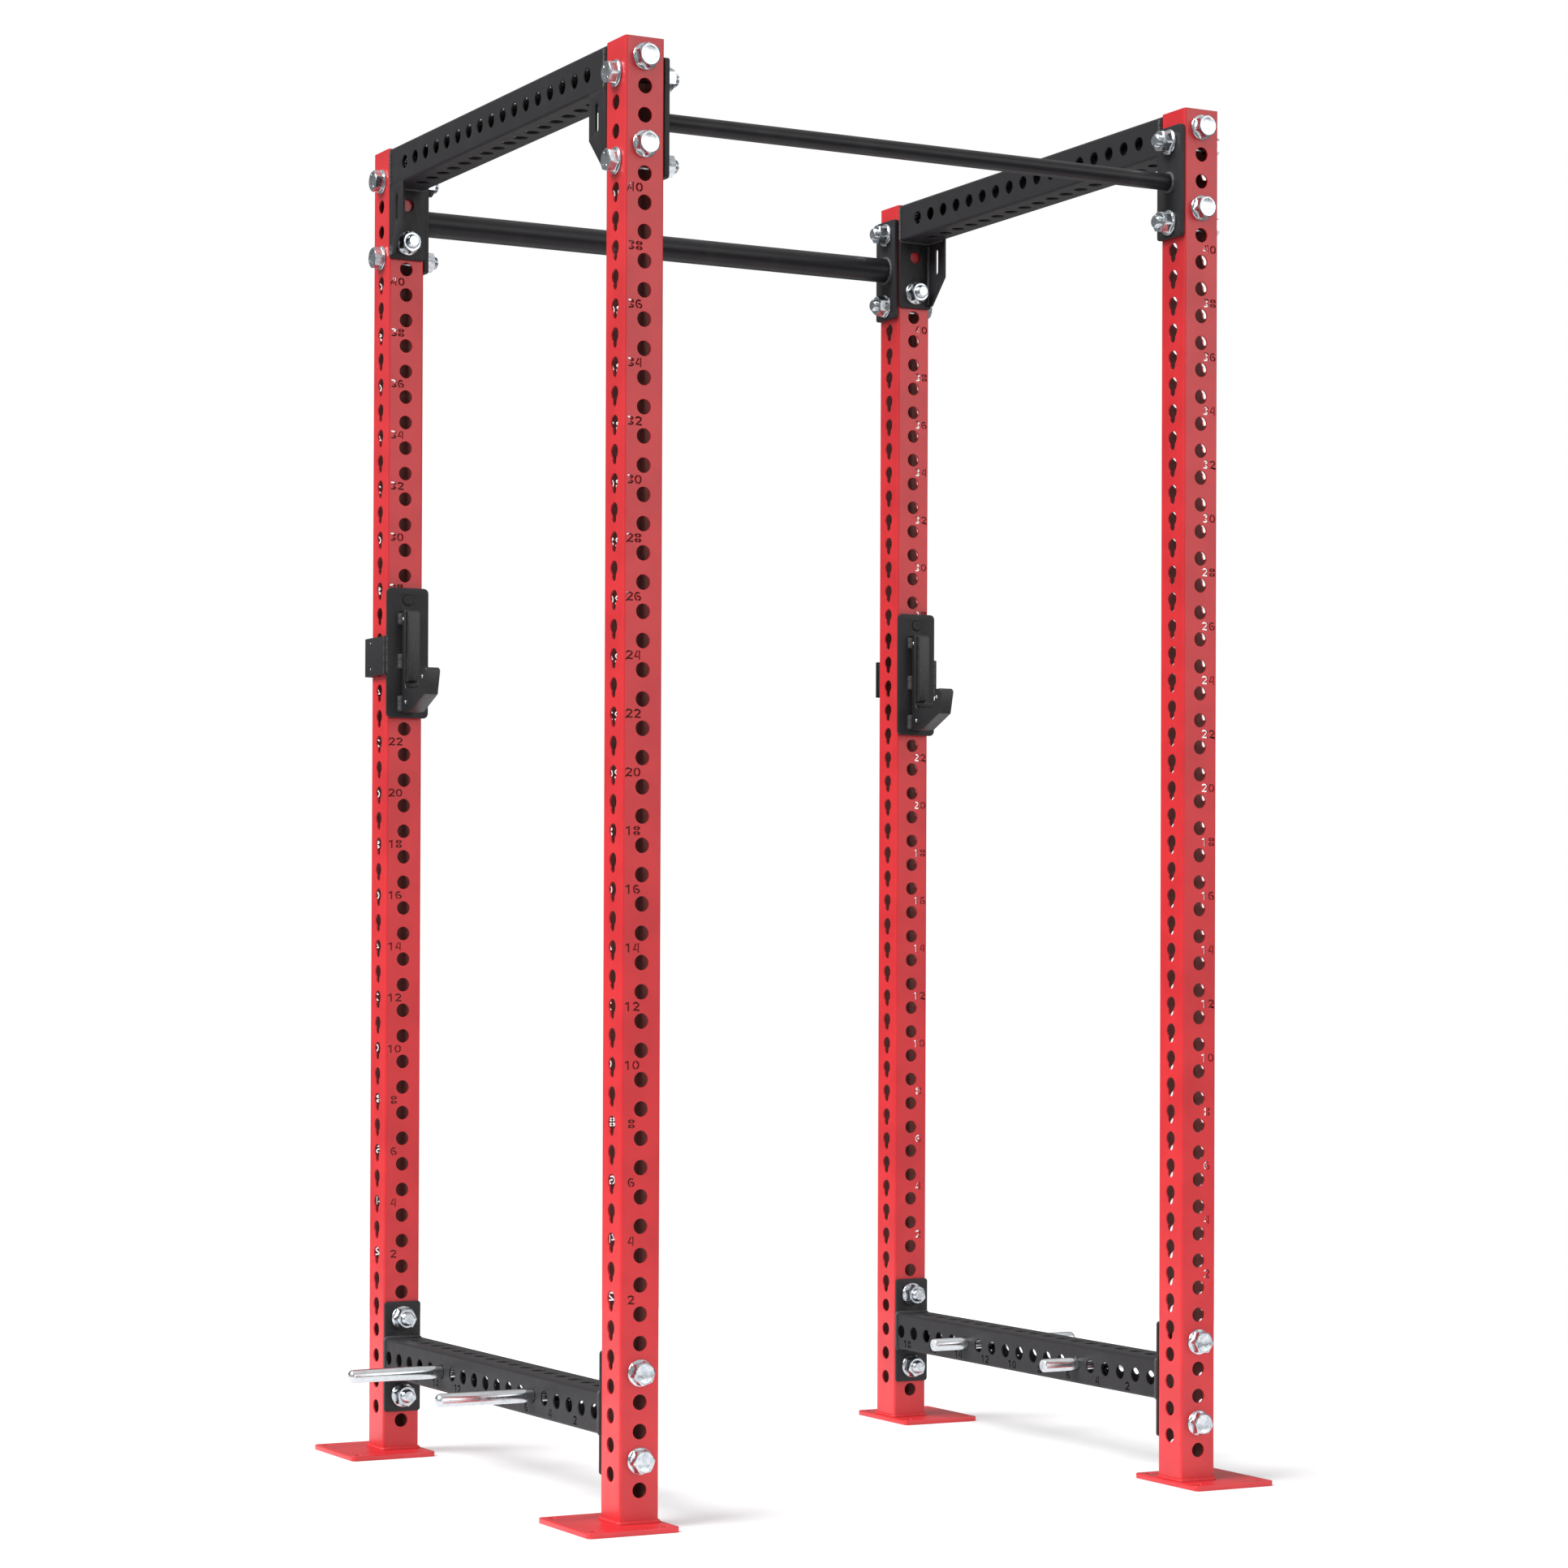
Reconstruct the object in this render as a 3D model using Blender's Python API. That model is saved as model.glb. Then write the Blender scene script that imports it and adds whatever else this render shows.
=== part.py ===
"""Power cage: four drilled uprights on foot plates, tied by crossmembers and pull-up bars.

Metres, +Z up. The origin is on the floor, midway between the uprights. -Y is the front.
Two bar hooks hang on the rear uprights and four storage pegs slide in the lower crossmembers.
"""

import math

import bmesh
import bpy
from mathutils import Vector

INCH = 0.0254
GAP = 0.0003  # clearance between pieces that rest on each other

# Square steel tube of the uprights and crossmembers
TUBE = 3 * INCH
WALL = 0.003
CORNER = 0.005

# Where the uprights stand, centre to centre
SPACING_X = 46.375 * INCH
SPACING_Y = 41 * INCH
POST_LENGTH = 101.6 * INCH

# Hole rows: levels are counted up from the lower crossmembers' top bolts
LEVEL = 2 * INCH
LOWEST_LEVEL = -4
POST_END_TO_HOLE = 2.25 * INCH
HOLE_RADIUS = 0.0135
HOLE_STEPS = 12

# Foot plates, pushed outwards from the uprights
FOOT_X = 7 * INCH
FOOT_Y = 8 * INCH
FOOT_THICK = 0.375 * INCH
FOOT_OUTWARD = 1.6 * INCH
FOOT_CORNER = 0.010
FOOT_HOLE_INSET = 0.020
FOOT_HOLE_RADIUS = 0.0065
FOOT_HOLE_STEPS = 8

# Crossmembers and their end flanges
FLANGE_THICK = 0.25 * INCH
FLANGE_TALL = 8.56 * INCH
FLANGE_CORNER = 0.006
LOWER_LEVEL = -1.5
UPPER_FLANGE_LEVEL = 43.5
UPPER_LEVEL = UPPER_FLANGE_LEVEL + (FLANGE_TALL - TUBE - 0.001) / 2 / LEVEL
FLANGE_WINDOW_RADIUS = 0.0125
LOWER_BOLT_LEVELS = (0, -3)
UPPER_BOLT_LEVELS = (45, 42)
GUSSET_THICK = 0.005
GUSSET_REACH = 0.062
GUSSET_TIP = 0.010
GUSSET_TAPER_LEVEL = 42.55
GUSSET_SLOT_WIDTH = 0.012
GUSSET_SLOT_LEVELS = (42.75, 43.8)

# Pull-up bars
FRONT_BAR_RADIUS = 0.625 * INCH
REAR_BAR_RADIUS = 1 * INCH
BAR_LEVEL = 43
BAR_BOLT_LEVELS = (44.5, 41.5)
BAR_PLATE_THICK = 0.010
BAR_PLATE_TALL = 8.3 * INCH
BAR_STEPS = 16

# One-inch bolts with flange nuts
BOLT_RADIUS = 0.0125
BOLT_WASHER_RADIUS = 0.024
BOLT_WASHER_THICK = 0.004
BOLT_FLATS = 0.037
BOLT_HEAD_TALL = 0.016
BOLT_NUT_TALL = 0.019
BOLT_END_PROUD = 0.010

# Storage pegs through the lower crossmembers
PEG_RADIUS = 0.5 * INCH
PEG_OUTSIDE = 7.5 * INCH
PEG_INSIDE = 3 * INCH
PEG_OFFSET_Y = 4 * LEVEL
PEG_CHAMFER = 0.0015
PEG_STEPS = 16
PEG_DOME_STEPS = 4

# Bar hooks
HOOK_LEVEL = 28
HOOK_PLATE_THICK = 0.25 * INCH
HOOK_PLATE_HALF_WIDTH = 0.0445
HOOK_PLATE_TOP = 0.025
HOOK_PLATE_BOTTOM = -0.233
HOOK_PLATE_CORNER = 0.010
HOOK_LINER_THICK = 0.009
HOOK_SIDE_LINER_THICK = 0.005
HOOK_BACK_LINER_THICK = 0.006
HOOK_WRAP_TOP = -0.075
HOOK_WRAP_BOTTOM = -0.151
HOOK_LINER_INSET = 0.002
HOOK_CORE_HALF = 0.005
HOOK_HALF_WIDTH = 0.0135
HOOK_ARM_DEPTH = 0.020
HOOK_ARM_TOP = -0.021
HOOK_SEAT_Z = -0.177
HOOK_INNER_RADIUS = 0.012
HOOK_BACK_PAD_THICK = 0.012
HOOK_BACK_PAD_BOTTOM = -0.163
HOOK_SEAT_PAD_THICK = 0.008
HOOK_SEAT_PAD_DEPTHS = (0.034, 0.084)
HOOK_TIP = ((0.084, -0.177), (0.097, -0.163), (0.104, -0.140), (0.119, -0.140), (0.126, -0.147),
            (0.115, -0.1925), (0.049, -0.223))
PIN_RADIUS = 0.0125
PIN_HOLE_RADIUS = 0.0132
PIN_PROUD = 0.002
PIN_INTO_POST = 0.045
PIN_CHAMFER = 0.002

POST_BASE = FOOT_THICK + GAP
LEVEL_ZERO = POST_BASE + POST_END_TO_HOLE - LOWEST_LEVEL * LEVEL
SIDES = {"left": -1, "right": 1}
ENDS = {"front": -1, "rear": 1}


def height(level):
    """Height of a hole level above the floor."""
    return LEVEL_ZERO + level * LEVEL


def clear_scene():
    for item in list(bpy.data.objects):
        bpy.data.objects.remove(item, do_unlink=True)


def make_finish(name, colour, roughness, metallic):
    material = bpy.data.materials.new(name)
    material.use_nodes = True
    shader = material.node_tree.nodes["Principled BSDF"]
    shader.inputs["Base Color"].default_value = (*colour, 1)
    shader.inputs["Roughness"].default_value = roughness
    shader.inputs["Metallic"].default_value = metallic
    return material


def place(axis, u, v, along):
    """A point from its place across and along an axis."""
    return {"X": Vector((along, u, v)), "Y": Vector((u, along, v)), "Z": Vector((u, v, along))}[axis]


def circle(centre, radius, steps):
    """Points of a circle, with a flat at its top and bottom."""
    turns = [2 * math.pi * (i + 0.5) / steps for i in range(steps)]
    return [(centre[0] + radius * math.cos(turn), centre[1] + radius * math.sin(turn)) for turn in turns]


def hexagon(centre, flats):
    """Twelve points round a hexagon: its corners and the middles of its sides."""
    points = []
    for i in range(12):
        reach = flats / 2 if i % 2 else flats / 2 / math.cos(math.pi / 6)
        turn = math.pi * (i + 0.5) / 6
        points.append((centre[0] + reach * math.cos(turn), centre[1] + reach * math.sin(turn)))
    return points


def rounded_rectangle(low, high, radius, steps=3):
    corners = ((high[0] - radius, high[1] - radius), (low[0] + radius, high[1] - radius),
               (low[0] + radius, low[1] + radius), (high[0] - radius, low[1] + radius))
    points = []
    for quarter, (u, v) in enumerate(corners):
        for i in range(steps + 1):
            turn = math.pi / 2 * (quarter + i / steps)
            points.append((u + radius * math.cos(turn), v + radius * math.sin(turn)))
    return points


def loft(bm, axis, sections, closed=False):
    """Skin sections given as (outline, place along the axis): capped ends, or a closed ring of sections."""
    loops = [[bm.verts.new(place(axis, u, v, along)) for u, v in outline] for outline, along in sections]
    pairs = list(zip(loops, loops[1:]))
    if closed:
        pairs.append((loops[-1], loops[0]))
    for near, far in pairs:
        for i in range(len(near)):
            j = (i + 1) % len(near)
            bm.faces.new((near[i], near[j], far[j], far[i]))
    if not closed:
        bm.faces.new(loops[0])
        bm.faces.new(loops[-1])


def prism(bm, axis, outline, low, high):
    loft(bm, axis, [(outline, low), (outline, high)])


def square_tube(bm, axis, centre, low, high):
    outlines = []
    for inset in (0, WALL):
        half = TUBE / 2 - inset
        outlines.append(rounded_rectangle((centre[0] - half, centre[1] - half),
                                          (centre[0] + half, centre[1] + half), CORNER - inset))
    outer, inner = outlines
    loft(bm, axis, [(outer, low), (outer, high), (inner, high), (inner, low)], closed=True)


def add_solid(name, bm, finish, origin=(0, 0, 0), parent=None):
    """Turn a mesh built in world coordinates into an object whose origin is where it is asked for."""
    bmesh.ops.recalc_face_normals(bm, faces=bm.faces)
    bmesh.ops.translate(bm, verts=bm.verts, vec=-Vector(origin))
    mesh = bpy.data.meshes.new(name)
    bm.to_mesh(mesh)
    bm.free()
    mesh.materials.append(finish)
    mesh.shade_smooth()
    mesh.set_sharp_from_angle(angle=math.radians(35))
    solid = bpy.data.objects.new(name, mesh)
    bpy.context.collection.objects.link(solid)
    solid.location = Vector(origin)
    if parent:
        solid.parent = parent
        solid.location = Vector(origin) - parent.location
    return solid


def add_pivot(name, location):
    pivot = bpy.data.objects.new(name, None)
    pivot.location = location
    bpy.context.collection.objects.link(pivot)
    return pivot


def combine(solid, name, bm, operation):
    """Join or cut a solid with a helper mesh."""
    helper = add_solid(name, bm, solid.data.materials[0])
    helper.hide_render = True
    helper.display_type = "WIRE"
    modifier = solid.modifiers.new(name, "BOOLEAN")
    modifier.operation = operation
    modifier.solver = "EXACT"
    modifier.object = helper


def drill(solid, name, axis, holes, low, high):
    """Cut round holes, each (u, v, radius, steps), along an axis."""
    bm = bmesh.new()
    for u, v, radius, steps in holes:
        prism(bm, axis, circle((u, v), radius, steps), low, high)
    combine(solid, name, bm, "DIFFERENCE")


def make_foot(name, x, y, side, finish):
    centre_x = x + side * FOOT_OUTWARD
    half_x, half_y = FOOT_X / 2, FOOT_Y / 2
    bm = bmesh.new()
    outline = rounded_rectangle((centre_x - half_x, y - half_y), (centre_x + half_x, y + half_y), FOOT_CORNER)
    prism(bm, "Z", outline, 0, FOOT_THICK)
    foot = add_solid(name, bm, finish)
    reach_x, reach_y = half_x - FOOT_HOLE_INSET, half_y - FOOT_HOLE_INSET
    holes = [(centre_x + sx * reach_x, y + sy * reach_y, FOOT_HOLE_RADIUS, FOOT_HOLE_STEPS)
             for sx in (-1, 1) for sy in (-1, 1)]
    drill(foot, name + "_holes", "Z", holes, -FOOT_THICK, 2 * FOOT_THICK)


def make_post(name, x, y, end, finish):
    """An upright with the holes that this cage's own bolts and hook pins use."""
    bm = bmesh.new()
    square_tube(bm, "Z", (x, y), POST_BASE, POST_BASE + POST_LENGTH)
    post = add_solid(name, bm, finish)
    levels = UPPER_BOLT_LEVELS + LOWER_BOLT_LEVELS + ((HOOK_LEVEL,) if end > 0 else ())
    through_y = [(x, height(level), HOLE_RADIUS, HOLE_STEPS) for level in levels]
    through_x = [(y, height(level), HOLE_RADIUS, HOLE_STEPS) for level in BAR_BOLT_LEVELS]
    drill(post, name + "_holes_y", "Y", through_y, y - TUBE, y + TUBE)
    drill(post, name + "_holes_x", "X", through_x, x - TUBE, x + TUBE)


def make_crossmember(name, x, beam_level, flange_level, bolt_levels, finish):
    """A tube between two flange plates that bolt to the uprights' inner faces."""
    face_y = SPACING_Y / 2 - TUBE / 2 - GAP
    inner_y = face_y - FLANGE_THICK
    bm = bmesh.new()
    overlap = FLANGE_THICK / 2
    square_tube(bm, "Y", (x, height(beam_level)), -inner_y - overlap, inner_y + overlap)
    beam = add_solid(name, bm, finish)
    half, middle = TUBE / 2, height(flange_level)
    outline = rounded_rectangle((x - half, middle - FLANGE_TALL / 2), (x + half, middle + FLANGE_TALL / 2),
                                FLANGE_CORNER)
    bm = bmesh.new()
    for end in ENDS.values():
        prism(bm, "Y", outline, end * inner_y, end * face_y)
    combine(beam, name + "_flanges", bm, "UNION")
    holes = [(x, height(level), HOLE_RADIUS, HOLE_STEPS) for level in bolt_levels]
    if flange_level == UPPER_FLANGE_LEVEL:
        holes.append((x, middle, FLANGE_WINDOW_RADIUS, HOLE_STEPS))
    drill(beam, name + "_flange_holes", "Y", holes, -SPACING_Y, SPACING_Y)
    return beam


def add_gussets(beam, x, side):
    """Plates below the beam's outer face that brace it to its flanges, each with a plain slot."""
    inner_y = SPACING_Y / 2 - TUBE / 2 - GAP - FLANGE_THICK
    overlap = FLANGE_THICK / 2
    top = height(UPPER_LEVEL) - TUBE / 2 + CORNER
    taper = height(GUSSET_TAPER_LEVEL)
    bottom = height(UPPER_FLANGE_LEVEL) - FLANGE_TALL / 2 + FLANGE_CORNER
    outer_x = x + side * (TUBE / 2 - GAP)
    inner_x = outer_x - side * GUSSET_THICK
    slot_low, slot_high = (height(level) for level in GUSSET_SLOT_LEVELS)
    plates, slots = bmesh.new(), bmesh.new()
    for end in ENDS.values():
        outline = [(end * y, z) for y, z in (
            (inner_y + overlap, top), (inner_y - GUSSET_REACH, top), (inner_y - GUSSET_REACH, taper),
            (inner_y - GUSSET_TIP, bottom), (inner_y + overlap, bottom))]
        prism(plates, "X", outline, inner_x, outer_x)
        middle = end * (inner_y - GUSSET_REACH / 2)
        half = GUSSET_SLOT_WIDTH / 2
        slot = rounded_rectangle((middle - half, slot_low), (middle + half, slot_high), half)
        prism(slots, "X", slot, outer_x - 2 * GUSSET_THICK, outer_x + 2 * GUSSET_THICK)
    combine(beam, beam.name + "_gussets", plates, "UNION")
    combine(beam, beam.name + "_slots", slots, "DIFFERENCE")


def make_pull_up_bar(name, y, radius, finish):
    face_x = SPACING_X / 2 - TUBE / 2 - GAP
    inner_x = face_x - BAR_PLATE_THICK
    middle = height(BAR_LEVEL)
    bm = bmesh.new()
    overlap = BAR_PLATE_THICK / 2
    prism(bm, "X", circle((y, middle), radius, BAR_STEPS), -inner_x - overlap, inner_x + overlap)
    bar = add_solid(name, bm, finish)
    outline = rounded_rectangle((y - TUBE / 2, middle - BAR_PLATE_TALL / 2),
                                (y + TUBE / 2, middle + BAR_PLATE_TALL / 2), FLANGE_CORNER)
    bm = bmesh.new()
    for side in SIDES.values():
        prism(bm, "X", outline, side * inner_x, side * face_x)
    combine(bar, name + "_plates", bm, "UNION")
    holes = [(y, height(level), HOLE_RADIUS, HOLE_STEPS) for level in BAR_BOLT_LEVELS]
    drill(bar, name + "_bolt_holes", "X", holes, -SPACING_X, SPACING_X)


def make_bolt(name, axis, u, v, head, nut, finish):
    """A flanged hexagon bolt done up with its flanged nut; head and nut are the faces they clamp."""
    way = 1 if nut > head else -1
    centre = (u, v)
    shank = circle(centre, BOLT_RADIUS, HOLE_STEPS)
    washer = circle(centre, BOLT_WASHER_RADIUS, HOLE_STEPS)
    flats = hexagon(centre, BOLT_FLATS)
    head_face, nut_face = head - way * GAP, nut + way * GAP
    head_washer = head_face - way * BOLT_WASHER_THICK
    nut_washer = nut_face + way * BOLT_WASHER_THICK
    nut_top = nut_washer + way * BOLT_NUT_TALL
    bm = bmesh.new()
    loft(bm, axis, [
        (flats, head_washer - way * BOLT_HEAD_TALL), (flats, head_washer),
        (washer, head_washer), (washer, head_face), (shank, head_face),
        (shank, nut_face), (washer, nut_face), (washer, nut_washer),
        (flats, nut_washer), (flats, nut_top), (shank, nut_top), (shank, nut_top + way * BOLT_END_PROUD),
    ])
    add_solid(name, bm, finish)


def make_bolts(name, x, y, side, end, finish):
    """The six bolts of one upright: four through the crossmember flanges, two through a bar's plate."""
    half = TUBE / 2
    for beam, levels in (("upper_crossmember", UPPER_BOLT_LEVELS), ("lower_crossmember", LOWER_BOLT_LEVELS)):
        for where, level in zip(("top", "bottom"), levels):
            make_bolt(f"bolt_{name}_{beam}_{where}", "Y", x, height(level),
                      y + end * half, y - end * (half + GAP + FLANGE_THICK), finish)
    for where, level in zip(("top", "bottom"), BAR_BOLT_LEVELS):
        make_bolt(f"bolt_{name}_pull_up_bar_{where}", "X", y, height(level),
                  x + side * half, x - side * (half + GAP + BAR_PLATE_THICK), finish)


def make_peg(name, x, y, side, finish):
    """A round bar with a domed outer end and a flat, chamfered inner end."""
    z = height(LOWER_LEVEL)
    outer, inner = x + side * (TUBE / 2 + PEG_OUTSIDE), x - side * (TUBE / 2 + PEG_INSIDE)
    sections = [(circle((y, z), PEG_RADIUS - PEG_CHAMFER, PEG_STEPS), inner),
                (circle((y, z), PEG_RADIUS, PEG_STEPS), inner + side * PEG_CHAMFER)]
    for i in range(PEG_DOME_STEPS + 1):
        turn = math.pi / 2 * i / (PEG_DOME_STEPS + 0.5)
        radius = PEG_RADIUS * math.cos(turn)
        sections.append((circle((y, z), radius, PEG_STEPS), outer - side * PEG_RADIUS * (1 - math.sin(turn))))
    bm = bmesh.new()
    loft(bm, "X", sections)
    add_solid(name, bm, finish, origin=(x, y, z))


def hook_outline(start):
    """Side view of a bar hook's arm as (depth in front of the plate, height from the pin)."""
    points = [(start, HOOK_ARM_TOP), (HOOK_ARM_DEPTH, HOOK_ARM_TOP)]
    centre_depth, centre_z = HOOK_ARM_DEPTH + HOOK_INNER_RADIUS, HOOK_SEAT_Z + HOOK_INNER_RADIUS
    for i in range(5):
        turn = math.pi + math.pi / 2 * i / 4
        points.append((centre_depth + HOOK_INNER_RADIUS * math.cos(turn),
                       centre_z + HOOK_INNER_RADIUS * math.sin(turn)))
    return points + list(HOOK_TIP) + [(start, HOOK_TIP[-1][1])]


def make_hook(name, x, side, finishes):
    """A bar hook on a rear upright's front face, turning on a pin through the upright's hole."""
    face_y, z = SPACING_Y / 2 - TUBE / 2, height(HOOK_LEVEL)
    pivot = add_pivot(name + "_pivot", (x, face_y, z))
    origin = tuple(pivot.location)
    back = TUBE + GAP
    plate_back = GAP + HOOK_LINER_THICK + GAP
    plate_front = plate_back + HOOK_PLATE_THICK
    wrap_inner = TUBE / 2 + GAP + HOOK_SIDE_LINER_THICK + GAP
    wrap_outer = wrap_inner + HOOK_PLATE_THICK
    lip_inner = back + HOOK_BACK_LINER_THICK + GAP
    lip_outer = lip_inner + HOOK_PLATE_THICK

    def solid(part, bm, finish):
        return add_solid(f"{name}_{part}", bm, finishes[finish], origin, pivot)

    def slab(part, finish, across, depths, heights):
        """A block: across is outwards from the pin, depths are forwards from the upright's face."""
        bm = bmesh.new()
        outline = [(x + side * a, face_y - d) for a, d in (
            (across[0], depths[0]), (across[1], depths[0]), (across[1], depths[1]), (across[0], depths[1]))]
        prism(bm, "Z", outline, z + heights[0], z + heights[1])
        return solid(part, bm, finish)

    def arm(bm, outline, across):
        points = [(face_y - plate_front - depth, z + rise) for depth, rise in outline]
        prism(bm, "X", points, x + side * across[0], x + side * across[1])

    bm = bmesh.new()
    half = HOOK_PLATE_HALF_WIDTH
    outline = rounded_rectangle((x - half, z + HOOK_PLATE_BOTTOM), (x + half, z + HOOK_PLATE_TOP),
                                HOOK_PLATE_CORNER)
    prism(bm, "Y", outline, face_y - plate_front, face_y - plate_back)
    bracket = solid("bracket", bm, "steel")
    bm = bmesh.new()
    wrap = ((wrap_outer, plate_front - GAP), (wrap_outer, -lip_outer), (-TUBE / 2, -lip_outer),
            (-TUBE / 2, -lip_inner), (wrap_inner, -lip_inner), (wrap_inner, plate_front - GAP))
    prism(bm, "Z", [(x + side * a, face_y - d) for a, d in wrap], z + HOOK_WRAP_BOTTOM, z + HOOK_WRAP_TOP)
    combine(bracket, name + "_wrap", bm, "UNION")
    bm = bmesh.new()
    arm(bm, hook_outline(-HOOK_PLATE_THICK / 2), (-HOOK_CORE_HALF, HOOK_CORE_HALF))
    combine(bracket, name + "_core", bm, "UNION")
    pin_hole = [(x, z, PIN_HOLE_RADIUS, HOLE_STEPS)]
    drill(bracket, name + "_bracket_hole", "Y", pin_hole, face_y - 2 * plate_front, face_y)

    for part, way in (("outer_cover", 1), ("inner_cover", -1)):
        bm = bmesh.new()
        arm(bm, hook_outline(GAP), (way * (HOOK_CORE_HALF + GAP), way * HOOK_HALF_WIDTH))
        solid(part, bm, "plastic")

    width = (-HOOK_HALF_WIDTH, HOOK_HALF_WIDTH)
    arm_front = plate_front + HOOK_ARM_DEPTH
    slab("back_pad", "plastic", width, (arm_front + GAP, arm_front + HOOK_BACK_PAD_THICK),
         (HOOK_BACK_PAD_BOTTOM, HOOK_ARM_TOP))
    slab("seat_pad", "plastic", width, [plate_front + depth for depth in HOOK_SEAT_PAD_DEPTHS],
         (HOOK_SEAT_Z + GAP, HOOK_SEAT_Z + HOOK_SEAT_PAD_THICK))
    half = TUBE / 2
    face_liner = slab("face_liner", "plastic", (-half, half), (GAP, GAP + HOOK_LINER_THICK),
                      (HOOK_PLATE_BOTTOM + HOOK_LINER_INSET, HOOK_PLATE_TOP - HOOK_LINER_INSET))
    drill(face_liner, name + "_liner_hole", "Y", pin_hole, face_y - 2 * plate_front, face_y + TUBE)
    heights = (HOOK_WRAP_BOTTOM + HOOK_LINER_INSET, HOOK_WRAP_TOP - HOOK_LINER_INSET)
    slab("side_liner", "plastic", (half + GAP, half + GAP + HOOK_SIDE_LINER_THICK), (-TUBE, 0), heights)
    slab("back_liner", "plastic", (-half + HOOK_LINER_INSET, half + GAP + HOOK_SIDE_LINER_THICK),
         (-back - HOOK_BACK_LINER_THICK, -back), heights)

    bm = bmesh.new()
    tip, body = (circle((x, z), radius, HOLE_STEPS) for radius in (PIN_RADIUS - PIN_CHAMFER, PIN_RADIUS))
    loft(bm, "Y", [(body, face_y - plate_front - PIN_PROUD), (body, face_y + PIN_INTO_POST - PIN_CHAMFER),
                   (tip, face_y + PIN_INTO_POST)])
    solid("pin", bm, "steel")


def build():
    clear_scene()
    red = make_finish("red powder coat", (0.62, 0.035, 0.045), 0.42, 0)
    black = make_finish("black powder coat", (0.035, 0.032, 0.034), 0.5, 0)
    zinc = make_finish("bright zinc", (0.75, 0.77, 0.78), 0.2, 1)
    plastic = make_finish("black plastic", (0.018, 0.017, 0.018), 0.45, 0)

    for side_name, side in SIDES.items():
        x = side * SPACING_X / 2
        for end_name, end in ENDS.items():
            y = end * SPACING_Y / 2
            corner = f"{end_name}_{side_name}"
            make_foot("foot_plate_" + corner, x, y, side, red)
            make_post("upright_" + corner, x, y, end, red)
            make_bolts(corner, x, y, side, end, zinc)
            make_peg("peg_" + corner, x, end * PEG_OFFSET_Y, side, zinc)
        beam = make_crossmember("lower_crossmember_" + side_name, x, LOWER_LEVEL, LOWER_LEVEL,
                                LOWER_BOLT_LEVELS, black)
        peg_holes = [(end * PEG_OFFSET_Y, height(LOWER_LEVEL), HOLE_RADIUS, PEG_STEPS) for end in ENDS.values()]
        drill(beam, beam.name + "_peg_holes", "X", peg_holes, x - TUBE, x + TUBE)
        beam = make_crossmember("upper_crossmember_" + side_name, x, UPPER_LEVEL, UPPER_FLANGE_LEVEL,
                                UPPER_BOLT_LEVELS, black)
        add_gussets(beam, x, side)
        make_hook("bar_hook_" + side_name, x, side, {"steel": black, "plastic": plastic})

    for end_name, radius in (("front", FRONT_BAR_RADIUS), ("rear", REAR_BAR_RADIUS)):
        make_pull_up_bar("pull_up_bar_" + end_name, ENDS[end_name] * SPACING_Y / 2, radius, black)


build()
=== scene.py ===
import math
import bmesh
import bpy
import numpy as np
from mathutils import Matrix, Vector
from mathutils.geometry import tessellate_polygon


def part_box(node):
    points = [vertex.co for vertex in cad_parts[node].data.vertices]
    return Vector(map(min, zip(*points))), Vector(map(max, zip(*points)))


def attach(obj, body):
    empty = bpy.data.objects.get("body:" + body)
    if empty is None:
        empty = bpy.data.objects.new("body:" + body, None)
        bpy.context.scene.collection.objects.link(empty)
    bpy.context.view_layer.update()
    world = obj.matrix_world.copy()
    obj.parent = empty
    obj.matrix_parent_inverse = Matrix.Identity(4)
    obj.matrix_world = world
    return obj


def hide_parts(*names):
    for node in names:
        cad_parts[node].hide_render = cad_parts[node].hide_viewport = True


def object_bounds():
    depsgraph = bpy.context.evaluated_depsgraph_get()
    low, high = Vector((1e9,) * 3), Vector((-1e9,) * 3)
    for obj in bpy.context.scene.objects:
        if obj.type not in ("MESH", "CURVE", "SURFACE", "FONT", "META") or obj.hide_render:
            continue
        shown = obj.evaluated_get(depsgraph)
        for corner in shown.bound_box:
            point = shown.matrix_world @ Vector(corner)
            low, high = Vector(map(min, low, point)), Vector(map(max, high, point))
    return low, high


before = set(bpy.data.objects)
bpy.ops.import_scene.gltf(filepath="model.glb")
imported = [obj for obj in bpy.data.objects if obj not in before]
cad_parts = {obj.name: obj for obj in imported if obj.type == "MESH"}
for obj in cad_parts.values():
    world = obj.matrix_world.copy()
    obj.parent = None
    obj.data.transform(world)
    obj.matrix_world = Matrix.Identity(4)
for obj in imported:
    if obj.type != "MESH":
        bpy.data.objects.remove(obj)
cadLow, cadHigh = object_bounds()
print("frame loaded:", len(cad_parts), "solids")

sides = {"left": -1, "right": 1}
ends = {"front": -1, "rear": 1}


def nodeBox(name):
    low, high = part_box(name)
    return np.array(low), np.array(high)


# ---- materials

class Wire:
    # one output in a material, on which the usual signs add Math nodes
    def __init__(self, paint, socket):
        self.paint, self.socket = paint, socket

    def __add__(self, other):
        return self.paint.math("ADD", self, other)

    def __sub__(self, other):
        return self.paint.math("SUBTRACT", self, other)

    def __rsub__(self, other):
        return self.paint.math("SUBTRACT", other, self)

    def __mul__(self, other):
        return self.paint.math("MULTIPLY", self, other)

    __radd__ = __add__
    __rmul__ = __mul__


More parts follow.
